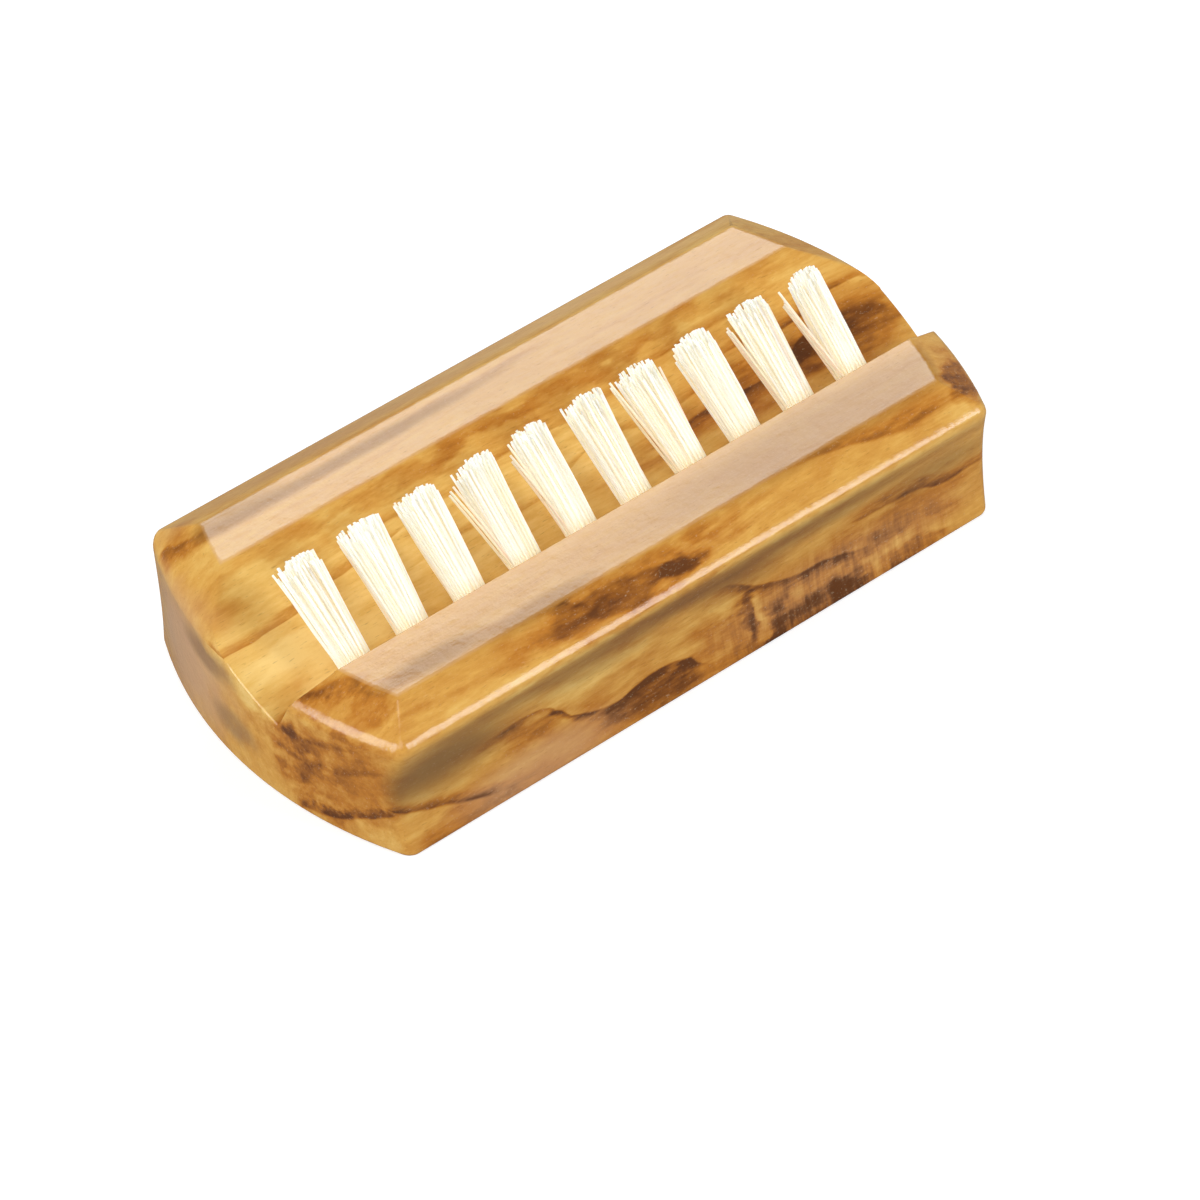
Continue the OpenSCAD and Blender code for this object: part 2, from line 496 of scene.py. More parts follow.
NEAR_BEVEL_FIGURE_AND_PAINTED_LIGHT = (
    Cloud((-8.6, -13.9, 12.2), (12.5, 2.4, 1.5), 0.23),
    Cloud((-11.4, -13.9, 12.1), (4.4, 1.8, 1.2), 0.2),
    Cloud((-8, -13.4, 12.4), (2.4, 0.9, 0.8), 0.12),
    Cloud((-5, -14.3, 12), (4.6, 1.2, 1), 0.22),
    Cloud((-0.8, -14.4, 11.9), (3, 1, 1), 0.14),
    Cloud((-1.4, -14.7, 11.8), (3, 1.2, 1), 0.2),
    Cloud((3, -13, 12.5), (7, 1.2, 0.9), 0.18),
    Vein((14, -13.2, 12.5), (13.5, 2.2, 1.2), 0.26, 0.4, 1.3, Plane.TOP, (
        (1, -12.2), (6, -12.1), (12.2, -12.3), (15.9, -12.8), (19.1, -13.7), (23, -14.4), (28, -15))),
    Cloud((24, -12.8, 12.5), (6, 2.2, 1.1), 0.14),
    Cloud((29.2, -12, 11.8), (2.4, 3.6, 1.4), 0.46),
    # Painted light: a paler band along the rounded near crest, just below its highlight.
    Cloud((0, -15.8, 10.6), (33, 0.6, 0.6), -0.12),
)

NEAR_SIDE_FIGURE_AND_PAINTED_SHADE = (
    # Painted shade: this first cloud darkens the whole near side below the lit top.
    Cloud((0, -17, 4), (36, 2.6, 8.6), 0.25),
    Vein((0, -16, 8.8), (33, 1.6, 2.6), 0.12, 0.5, -2.6, Plane.SIDE, (
        (-31, 9.6), (-22, 9.7), (-14, 9.4), (-6, 9.8), (2, 9.5), (12, 9.7), (22, 9.4), (31, 9.7))),
    Vein((-10.5, -15.4, 3.8), (12.8, 1.8, 4.4), 0.42, 0.3, -0.9, Plane.SIDE, (
        (-23, 5.8), (-20, 6.3), (-18, 6.5), (-16.2, 6.4), (-14, 5.2), (-11.3, 3.3), (-8.8, 2.6), (-6.6, 3),
        (-4.2, 3.1), (-1.8, 2.6), (0, 1.4), (1.2, 0.2))),
    Cloud((-5.2, -15.4, 1.3), (5.6, 1.5, 1.8), 0.28),
    Cloud((-17, -15.4, 4.8), (5, 1.5, 1.6), 0.2),
    Cloud((-10.6, -15.4, 6.6), (6.5, 1.5, 1.8), -0.24),
    Vein((-25.5, -15.6, 3.4), (7, 1.8, 3.4), 0.42, 0.35, 1.2, Plane.SIDE, (
        (-31, 5.7), (-29, 4.4), (-27, 3.5), (-24.5, 2.8), (-21, 1.6), (-17, 0.6))),
    Cloud((-22, -15.4, 0.6), (6, 1.5, 1.4), 0.3),
    Vein((9, -15.4, 5.4), (9.4, 1.8, 4.2), 0.36, 0.3, -1.5, Plane.SIDE, (
        (0, 8), (2.1, 7.8), (3.6, 7.3), (5.6, 5.9), (7.9, 4.9), (10, 4.4), (12, 4.3), (14, 3.9),
        (17, 3.2))),
    Cloud((4.5, -15.4, 3.4), (1.2, 1.6, 3.8), 0.3),
    Cloud((7.7, -15.6, 1.6), (1.1, 1.6, 3.2), 0.24),
    Cloud((12, -15.6, 0.4), (5, 1.6, 2), 0.34),
    Cloud((15, -15.6, 0.8), (2.2, 1.6, 2.6), 0.24),
    Cloud((21, -15.5, 4), (8, 1.6, 3), 0.22),
    Cloud((6, -15.4, 3.4), (0.9, 1.5, 2.4), -0.2),
    Cloud((1.6, -15.4, 5.2), (1.6, 1.5, 2.2), -0.16),
    Vein((23, -15.4, 6.2), (8.5, 1.8, 2.8), 0.36, 0.4, 1.6, Plane.SIDE, (
        (14, 6.8), (18, 6.4), (22, 6.2), (25, 5.2), (28, 5.4), (31, 4.6))),
    Cloud((21.5, -15.6, 0.4), (4.6, 1.6, 1), 0.3),
    Cloud((19, -15.4, 1.6), (3.5, 1.6, 1.5), -0.16),
)

WOOD_FIGURE_AND_PAINTED_LIGHT = (
    *FAR_RAIL_FIGURE, *LEFT_END_FIGURE, *GROOVE_FIGURE_AND_PAINTED_LIGHT, *NEAR_RAIL_FIGURE, *NEAR_BEVEL_FIGURE_AND_PAINTED_LIGHT,
    *NEAR_SIDE_FIGURE_AND_PAINTED_SHADE,
)

# Hues over the wood: the blush, lilac and dusk patches are painted sheen, painted reflection and painted
# shade; the ash and smudge patches are the wood's own.
HUES_AND_PAINTED_LIGHT = (
    Haze((-31.2, 8.2, 5.4), (2.8, 9, 6.8), Tone.PAINTED_REFLECTION_LILAC, 0.85),
    Haze((-16, -15.6, 1.6), (9, 1.4, 2.4), Tone.PAINTED_REFLECTION_LILAC, 0.45),
    Haze((14, -15.6, 3), (15, 1.4, 3), Tone.PAINTED_REFLECTION_LILAC, 0.2),
    Haze((0, 14.6, 12), (36, 2, 1.3), Tone.PAINTED_SHEEN_BLUSH, 0.6),
    Haze((-14, 14.4, 12), (22, 1.6, 1), Tone.ASH, 0.25),
    Haze((-12, 11, 13), (17, 0.9, 0.6), Tone.ASH, 0.75),
    Haze((-24, 11.6, 12.9), (6, 1.3, 0.7), Tone.ASH, 0.6),
    Haze((14, 9.6, 13), (30, 3.6, 0.6), Tone.ASH, 0.16),
    Haze((-22, -11, 13), (6, 1.3, 0.6), Tone.ASH, 0.8),
    Haze((-13, -11.8, 13), (7, 1, 0.6), Tone.ASH, 0.7),
    Haze((0, -10.4, 13), (38, 3.6, 0.6), Tone.ASH, 0.3),
    Haze((17, -10.4, 13), (21, 3.4, 0.6), Tone.ASH, 0.5),
    Haze((0, -16.2, 9), (34, 1.5, 1.9), Tone.PAINTED_SHADE_DUSK, 0.75),
    Haze((-25.4, -15.8, 6.8), (9, 2, 3.4), Tone.PAINTED_SHADE_DUSK, 0.85),
    Haze((-10, -15.9, 7.6), (9, 1.4, 1.5), Tone.PAINTED_SHADE_DUSK, 0.5),
    Haze((4, -15.9, 7.4), (7, 1.4, 1.8), Tone.PAINTED_SHADE_DUSK, 0.5),
    Haze((24, -15.8, 6.8), (8, 1.5, 2), Tone.PAINTED_SHADE_DUSK, 0.5),
    Haze((-31.8, 4.2, 8.6), (1.6, 4.4, 1.5), Tone.SMUDGE, 0.75),
    Haze((-32.2, 1, 3.8), (1.6, 3.2, 1.9), Tone.SMUDGE, 0.7),
)


class WoodFigure:
    """The figure of the wood, with a few clouds of painted light and shade: one level that runs from the
    palest wood at 0 to the darkest at 1.

    Its parts are read at places that noise has moved, so that their edges look grown.
    """

    SWIRL, SWIRL_REACH = Texture((0.03, 0.09, 0.09)), (0, 1.4, 1.2)
    RAG, RAG_REACH = Texture((0.1, 0.4, 0.4), 3), (0.8, 0.2, 0.2)
    TEAR, TEAR_REACH = Texture((0.25, 0.55, 0.55), 3), (2, 0.9, 0.9)
    FEATHER, FEATHER_SWING, FEATHER_SHIFT = Texture((0.5, 2.4, 2.4), 4, 0.65), 1.1, 0.45
    DRIFT, DRIFT_SHARE = Texture((0.05, 0.26, 0.26), 5, 0.58), 0.62
    BANDS, BAND_SHARE, GROWTH_SHIFT = Texture((0.03, 0.9, 0.9), 3, 0.55), 0.24, 0.02
    THREADS, THREAD_SHARE, GRAIN_SHIFT = Texture((0.2, 3.6, 3.6), 4, 0.68), 0.24, 0.12
    MOTTLE, MOTTLE_SHARE = Texture((0.35, 1, 1), 5, 0.68), 0.52
    CALM_ENDS, CALM_SHARE = (27, 31), 0.3
    STRIPES, STRIPE_SHARE, STRIPE_SHIFT = Texture((1.5, 0.5, 0.22), 4, 0.6), 0.9, 0.42
    RAY_ZONE, RAY_EDGE = Patch((13, -16, 2.4), (17, 2, 4.8)), (1.1, 0.4)
    CLOUD_EDGE = (1.15, 0.45)
    VEIN_EDGE = (1.1, 0.75)

    def __init__(self, graph: Graph) -> None:
        """Prepares the places at which the parts are read.

        Args:
            graph: The material's graph.
        """
        self.graph = graph
        self.place = graph.millimetres()
        self.swirled = graph.warp(self.place, self.SWIRL, self.SWIRL_REACH)
        self.ragged = graph.warp(self.place, self.RAG, self.RAG_REACH)
        self.torn = graph.warp(self.place, self.TEAR, self.TEAR_REACH)
        self.feather = graph.noise(self.place, self.FEATHER)

    def level(self) -> Signal:
        """Adds all parts up.

        Returns:
            How dark the wood is.
        """
        level = self.growth() + self.grain() + self.rays()
        # The marks include clouds of painted light and painted shade on the near side, the near crest and
        # the groove wall.
        for mark in WOOD_FIGURE_AND_PAINTED_LIGHT:
            level = level + (self.cloud(mark) if isinstance(mark, Cloud) else self.vein(mark))
        return level

    def growth(self) -> Signal:
        """Makes the broad drift of the wood, with its bands along the block.

        Returns:
            The level that everything else is added to.
        """
        drift = self.graph.noise(self.swirled, self.DRIFT)
        bands = self.graph.noise(self.swirled, self.BANDS)
        return self.DRIFT_SHARE * drift + self.BAND_SHARE * bands - self.GROWTH_SHIFT

    def grain(self) -> Signal:
        """Makes the fine grain, which is calmer on the ends.

        Returns:
            The addition, around 0.
        """
        threads = self.graph.noise(self.swirled, self.THREADS)
        mottle = self.graph.noise(self.place, self.MOTTLE)
        from_middle = self.graph.maths("ABSOLUTE", self.graph.split(self.place)[0])
        calm = self.graph.step(from_middle, *self.CALM_ENDS)
        patches = (self.MOTTLE_SHARE - self.CALM_SHARE * calm) * (mottle - 0.5)
        return self.THREAD_SHARE * threads + patches - self.GRAIN_SHIFT

    def rays(self) -> Signal:
        """Makes the upright stripes on the right half of the near side.

        Returns:
            The addition, around 0 there and 0 elsewhere.
        """
        zone = self.graph.inside(self.place, self.RAY_ZONE, *self.RAY_EDGE)
        stripes = self.graph.noise(self.place, self.STRIPES)
        return zone * (self.STRIPE_SHARE * stripes - self.STRIPE_SHIFT)

    def cloud(self, cloud: Cloud) -> Signal:
        """Gives what one cloud adds."""
        return cloud.depth * self.graph.inside(self.torn, cloud, *self.CLOUD_EDGE)

    def vein(self, vein: Vein) -> Signal:
        """Gives what one vein adds.

        Args:
            vein: The vein.

        Returns:
            The addition, from 0 to the vein's depth.
        """
        graph = self.graph
        run, height = (graph.split(self.ragged)[axis] for axis in vein.plane.value)
        starts, levels = zip(*vein.stations)
        run_start, run_length = starts[0], starts[-1] - starts[0]
        low, rise = min(levels), max(levels) - min(levels)
        points = tuple(((at - run_start) / run_length, (level - low) / rise) for at, level in vein.stations)
        share = (run - run_start) * (1 / run_length)
        curve = graph.add("ShaderNodeFloatCurve", {"points": points}, {"Value": share})
        above = height - (low + rise * curve)
        sharp = graph.step(above, -math.copysign(vein.width, vein.fade), 0)
        feathered = above + vein.fade * (self.FEATHER_SWING * self.feather - self.FEATHER_SHIFT)
        soft = graph.step(feathered, vein.fade, 0)
        return vein.depth * (sharp * soft * graph.inside(self.ragged, vein, *self.VEIN_EDGE))


@dataclass(frozen=True)
class OliveWood(Finish):
    """Oiled olive wood: gold with amber clouds, fine grain along X, and brown veins."""

    pale: Colour = srgb(240, 202, 124)
    straw: Colour = srgb(228, 182, 98)
    gold: Colour = srgb(212, 156, 72)
    amber: Colour = srgb(184, 116, 38)
    brown: Colour = srgb(132, 76, 24)
    umber: Colour = srgb(98, 54, 18)
    fleck: Colour = srgb(246, 226, 186)
    gloss_roughness: float = 0.13
    roughness_swing: float = 0.12

    TONE_LEVELS = (0, 0.2, 0.4, 0.66, 0.88, 1)
    # Painted sheen: how strongly the flat rail tops are paled towards a blush, standing in for the light
    # reflected from above.
    RAIL_TOP, RAIL_SHEEN, FIBRE_SHEEN = (12.93, 12.99), 0.34, 0.42
    FIBRES, FIBRE_LEVELS = Texture((0.7, 3, 3), 4, 0.7), (0.25, 0.7)
    HAZE_EDGE = (1.2, 0.35)
    HAZED_LEVELS = (1.2, 0.75)
    FLECKS, FLECK_LEVELS, FLECK_SHARE = Texture((3, 5, 5), 3, 0.7), (0.56, 0.8), 0.1
    DARK_LEVELS, DARK_FLECK_SHARE = (0.45, 0.85), 0.16
    PORES, PORE_LEVELS, PORE_SHARE = Texture((1.2, 8, 8)), (0.38, 0.26), 0.3
    PEEL, PEEL_SHARE = Texture((0.9, 0.9, 0.9), 3, 0.55), 0.8
    PITS, PIT_SHARE = Texture((0.8, 6, 6)), 0.2
    WEAR = Texture((0.1, 0.6, 0.6), 3)
    BUMP = (0.6, 0.1)

    def shade(self, graph: Graph) -> Signal:
        """Makes the look of the wood.

        Args:
            graph: The material's graph.

        Returns:
            The shader.
        """
        figure = WoodFigure(graph)
        level = figure.level()
        tones = (self.pale, self.straw, self.gold, self.amber, self.brown, self.umber)
        colour = graph.ramp(level, tuple(zip(self.TONE_LEVELS, tones)))
        colour = self._flecks(figure, level, self._hues_and_painted_light(figure, level, colour))
        peel = graph.noise(figure.place, self.PEEL)
        pits = graph.noise(figure.place, self.PITS)
        wear = graph.noise(figure.swirled, self.WEAR)
        return graph.add("ShaderNodeBsdfPrincipled", {}, {
            "Base Color": colour,
            "Roughness": self.gloss_roughness + self.roughness_swing * wear,
            "Normal": graph.bump(self.PEEL_SHARE * peel + self.PIT_SHARE * pits, *self.BUMP),
            "IOR": 1.5,
        })

    def _hues_and_painted_light(self, figure: WoodFigure, level: Signal, colour: Signal) -> Signal:
        """Lays the hues over the wood, painted sheen, reflection and shade among them, and a painted sheen
        over the two flat rails.

        Args:
            figure: The figure of the wood.
            level: How dark the wood is.
            colour: The colour so far.

        Returns:
            The colour.
        """
        graph = figure.graph
        # Painted sheen: the rail tops, streaked by fibres, are mixed towards the pale blush.
        rails = graph.step(graph.split(figure.place)[2], *self.RAIL_TOP)
        fibres = graph.step(graph.noise(figure.place, self.FIBRES), *self.FIBRE_LEVELS)
        painted_sheen = rails * (self.RAIL_SHEEN + self.FIBRE_SHEEN * fibres)
        colour = graph.mix(painted_sheen, colour, Tone.PAINTED_SHEEN_BLUSH.value)
        clear = graph.step(level, *self.HAZED_LEVELS)
        for haze in HUES_AND_PAINTED_LIGHT:
            cover = haze.strength * graph.inside(figure.ragged, haze, *self.HAZE_EDGE)
            # Painted shade covers dark wood too; the other hues show only on the paler wood.
            cover = cover if haze.tone is Tone.PAINTED_SHADE_DUSK else clear * cover
            colour = graph.mix(cover, colour, haze.tone.value)
        return colour

    def _flecks(self, figure: WoodFigure, level: Signal, colour: Signal) -> Signal:
        """Adds pale flecks, thickest on the dark wood, and dark pores.

        Args:
            figure: The figure of the wood.
            level: How dark the wood is.
            colour: The colour so far.

        Returns:
            The colour with its flecks.
        """
        graph = figure.graph
        flecks = graph.step(graph.noise(figure.place, self.FLECKS), *self.FLECK_LEVELS)
        pores = graph.step(graph.noise(figure.place, self.PORES), *self.PORE_LEVELS)
        share = self.FLECK_SHARE + self.DARK_FLECK_SHARE * graph.step(level, *self.DARK_LEVELS)
        colour = graph.mix(flecks * share, colour, self.fleck)
        return graph.mix(self.PORE_SHARE * pores, colour, self.brown)


@dataclass(frozen=True)
class Bristle(Finish):
    """Pale natural bristle, which lets a little light through, with a faint painted glow."""

    ivory: Colour = srgb(255, 249, 230)
    cream: Colour = srgb(247, 231, 199)
    blush: Colour = srgb(240, 212, 190)
    root: Colour = srgb(250, 234, 196)
    roughness: float = 0.38
    softness: float = 0.8
    light_reach: Point = (0.6 * MM, 0.52 * MM, 0.42 * MM)
    # Painted light: the bristle glows a little, brightening the tufts as if more light passed through them.
    glow: float = 0.16

    TINT_LEVELS = (0, 0.55, 0.85, 1)
    STREAKS, STREAK_LEVELS, STREAK_SHARE = Texture((5, 1.2, 1.2)), (0.5, 0.8), 0.3
    ROOT_ENDS = (0.22, 0)
    BUMP = (0.2, 0.01)

    def shade(self, graph: Graph) -> Signal:
        """Makes the look of the bristle.

        Args:
            graph: The material's graph.

        Returns:
            The shader.
        """
        tint = graph.add("ShaderNodeAttribute", {"attribute_name": Strands.TINT}, {}, "Fac")
        along = graph.add("ShaderNodeAttribute", {"attribute_name": Strands.ALONG}, {}, "Fac")
        tones = (self.ivory, self.ivory, self.cream, self.blush)
        colour = graph.ramp(tint, tuple(zip(self.TINT_LEVELS, tones)))
        streaks = graph.noise(graph.millimetres(), self.STREAKS)
        streaked = self.STREAK_SHARE * graph.step(streaks, *self.STREAK_LEVELS)
        colour = graph.mix(streaked, colour, self.cream)
        colour = graph.mix(graph.step(along, *self.ROOT_ENDS), colour, self.root)
        return graph.add("ShaderNodeBsdfPrincipled", {}, {
            "Base Color": colour,
            "Roughness": self.roughness,
            "Normal": graph.bump(streaks, *self.BUMP),
            "Subsurface Weight": self.softness,
            "Subsurface Radius": self.light_reach,
            "Subsurface Scale": 1,
            # Painted light: a faint glow in the bristle's own colour.
            "Emission Color": colour,
            "Emission Strength": self.glow,
        })


@dataclass(frozen=True)
class FlatWire(Finish):
    """Drawn steel wire with fine scratches along it."""

    steel: Colour = srgb(186, 182, 174)
    tarnish: Colour = srgb(142, 134, 122)
    gloss_roughness: float = 0.25
    roughness_swing: float = 0.2

    DRAWN = Texture((0.6, 9, 9))
    STAIN, STAIN_LEVELS = Texture((0.9, 0.9, 0.9)), (0.45, 0.7)
    BUMP = (0.3, 0.01)

    def shade(self, graph: Graph) -> Signal:
        """Makes the look of the wire.

        Args:
            graph: The material's graph.

        Returns:
            The shader.
        """
        place = graph.millimetres()
        drawn = graph.noise(place, self.DRAWN)
        stained = graph.step(graph.noise(place, self.STAIN), *self.STAIN_LEVELS)
        return graph.add("ShaderNodeBsdfPrincipled", {}, {
            "Base Color": graph.mix(stained, self.steel, self.tarnish),
            "Metallic": 1,
            "Roughness": self.gloss_roughness + self.roughness_swing * drawn,
            "Normal": graph.bump(drawn, *self.BUMP),
        })


@dataclass(frozen=True)
class PaleFloor(Finish):
    """A plain pale floor, white to the camera where nothing shades it, and dim where the wood mirrors it.

    Attributes:
        grey: Its colour under the lamps.
        mirrored_grey: Its colour in reflections.
        mirrored_share: How much of that colour the reflections take.
        near_glow: What is added to its light in view, close to the brush.
        far_glow: What is added to that far away, where the lamps don't reach.
        glow_rise: How far from the brush that starts and ends to rise.
    """

    grey: Colour = (0.62, 0.62, 0.62, 1)
    mirrored_grey: Colour = (0.1, 0.1, 0.1, 1)
    mirrored_share: float = 0.9
    near_glow: float = 0.54
    far_glow: float = 0.4
    glow_rise: tuple[float, float] = (110, 420)

    def shade(self, graph: Graph) -> Signal:
        """Makes the look of the floor.

        Args:
            graph: The material's graph.

        Returns:
            The shader.
        """
        glossy = graph.ray("Is Glossy Ray")
        rays = graph.ray("Is Camera Ray") + glossy + graph.ray("Is Transmission Ray")
        seen = graph.maths("MINIMUM", rays, 1)
        far = graph.step(graph.length(graph.millimetres()), *self.glow_rise)
        strength = seen * (self.near_glow + self.far_glow * far)
        matte = graph.add("ShaderNodeBsdfDiffuse", {}, {"Color": self.grey})
        glow = graph.add("ShaderNodeEmission", {}, {"Color": (1, 1, 1, 1), "Strength": strength})
        lit = graph.add("ShaderNodeAddShader", {}, {0: matte, 1: glow})
        dim = graph.add("ShaderNodeBsdfDiffuse", {}, {"Color": self.mirrored_grey})
        return graph.add("ShaderNodeMixShader", {}, {0: self.mirrored_share * glossy, 1: lit, 2: dim})


class Face(IntEnum):
    """What each face of the block belongs to."""

    RAIL = 0
    RIM = 1
    GROOVE = 2
    UNDERSIDE = 3
    SIDE = 4
    SIDE_BEVEL = 5
    CORNER = 6
    END = 7
    END_BEVEL = 8
    EASED = 9
    BORE = 10


def rounding(
    before: Vector, corner: Vector, after: Vector, ease: float
) -> tuple[Vector, float, float, float]:
    """Finds the circle that eases a corner.

    Args:
        before: The corner before it.
        corner: The corner to ease.
        after: The corner after it.
        ease: How far the rounding reaches along both neighbours.

    Returns:
        The circle's centre, its radius, and the angles at which it starts and ends.
    """
    inward, onward = (corner - before).normalized(), (after - corner).normalized()
    turn = inward.cross(onward)
    half_turn = math.atan2(turn, inward.dot(onward)) / 2
    radius = ease / math.tan(abs(half_turn))
    hand = 1 if turn > 0 else -1
    start = corner - ease * inward
    centre = start + hand * radius * Vector((-inward.y, inward.x))
    first = math.atan2(start.y - centre.y, start.x - centre.x)
    return centre, radius, first, first + 2 * half_turn


def bearing(angle: float) -> Vector:
    """Gives the flat unit vector at an angle."""
    return Vector((math.cos(angle), math.sin(angle)))


def slice_at(bm: bmesh.types.BMesh, pieces: list[Any], height: float) -> None:
    """Adds edges where a level plane crosses some pieces of a mesh."""
    bmesh.ops.bisect_plane(bm, geom=pieces, dist=SNAP, plane_co=(0, 0, height), plane_no=(0, 0, 1))


def add_rod(bm: bmesh.types.BMesh, sides: int, radius: float, length: float, place: Matrix) -> None:
    """Adds a straight rod with closed ends."""
    bmesh.ops.create_cone(
        bm, cap_ends=True, segments=sides, radius1=radius, radius2=radius, depth=length, matrix=place
    )


def add_modifier(piece: bpy.types.Object, name: str, kind: str, **settings: Any) -> None:
    """Adds a modifier to a piece.

    Args:
        piece: The piece.
        name: The modifier's name.
        kind: The modifier's type.
        settings: Its settings by name.
    """
    modifier = piece.modifiers.new(name, kind)
    for key, value in settings.items():
        setattr(modifier, key, value)


def finish_mesh(bm: bmesh.types.BMesh, name: str) -> bpy.types.Object:
    """Turns a bmesh in millimetres into an object at the origin, in metres.

    Args:
        bm: The bmesh, which is freed.
        name: The object's name.

    Returns:
        The object.
    """
    bmesh.ops.scale(bm, vec=(MM, MM, MM), verts=bm.verts[:])
    mesh = bpy.data.meshes.new(name)
    bm.to_mesh(mesh)
    bm.free()
    piece = bpy.data.objects.new(name, mesh)
    bpy.context.scene.collection.objects.link(piece)
    return piece


@dataclass
class TuftFrame:
    """Where one tuft stands, worked out from its anchor in the frame.

    Attributes:
        number: The tuft's number, from the left.
        tilt: The angle of the tuft above the table, in degrees.
        anchor_depth: How far the middle of the anchor lies below the mouth of the hole.
    """

    number: int
    tilt: float = 41.0
    anchor_depth: float = 6.05

    @property
    def anchor_node(self) -> str:
        """The name of the anchor's node."""
        return f"anchor_{self.number:02d}"

    @property
    def tuft_node(self) -> str:
        """The name of the tuft's node."""
        return f"tuft_{self.number:02d}"

    def matrix(self) -> Matrix:
        """Finds where the tuft stands.

        Returns:
            The tuft's turn and place, with its z out along the bristles from the mouth.
        """
        low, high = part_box(self.anchor_node)
        anchor_middle = (low + high) / 2 / MM
        turn = Matrix.Rotation(math.radians(self.tilt - 90), 4, "X")
        mouth = anchor_middle + turn.to_3x3() @ Vector((0, 0, self.anchor_depth))
        return Matrix.Translation(mouth) @ turn


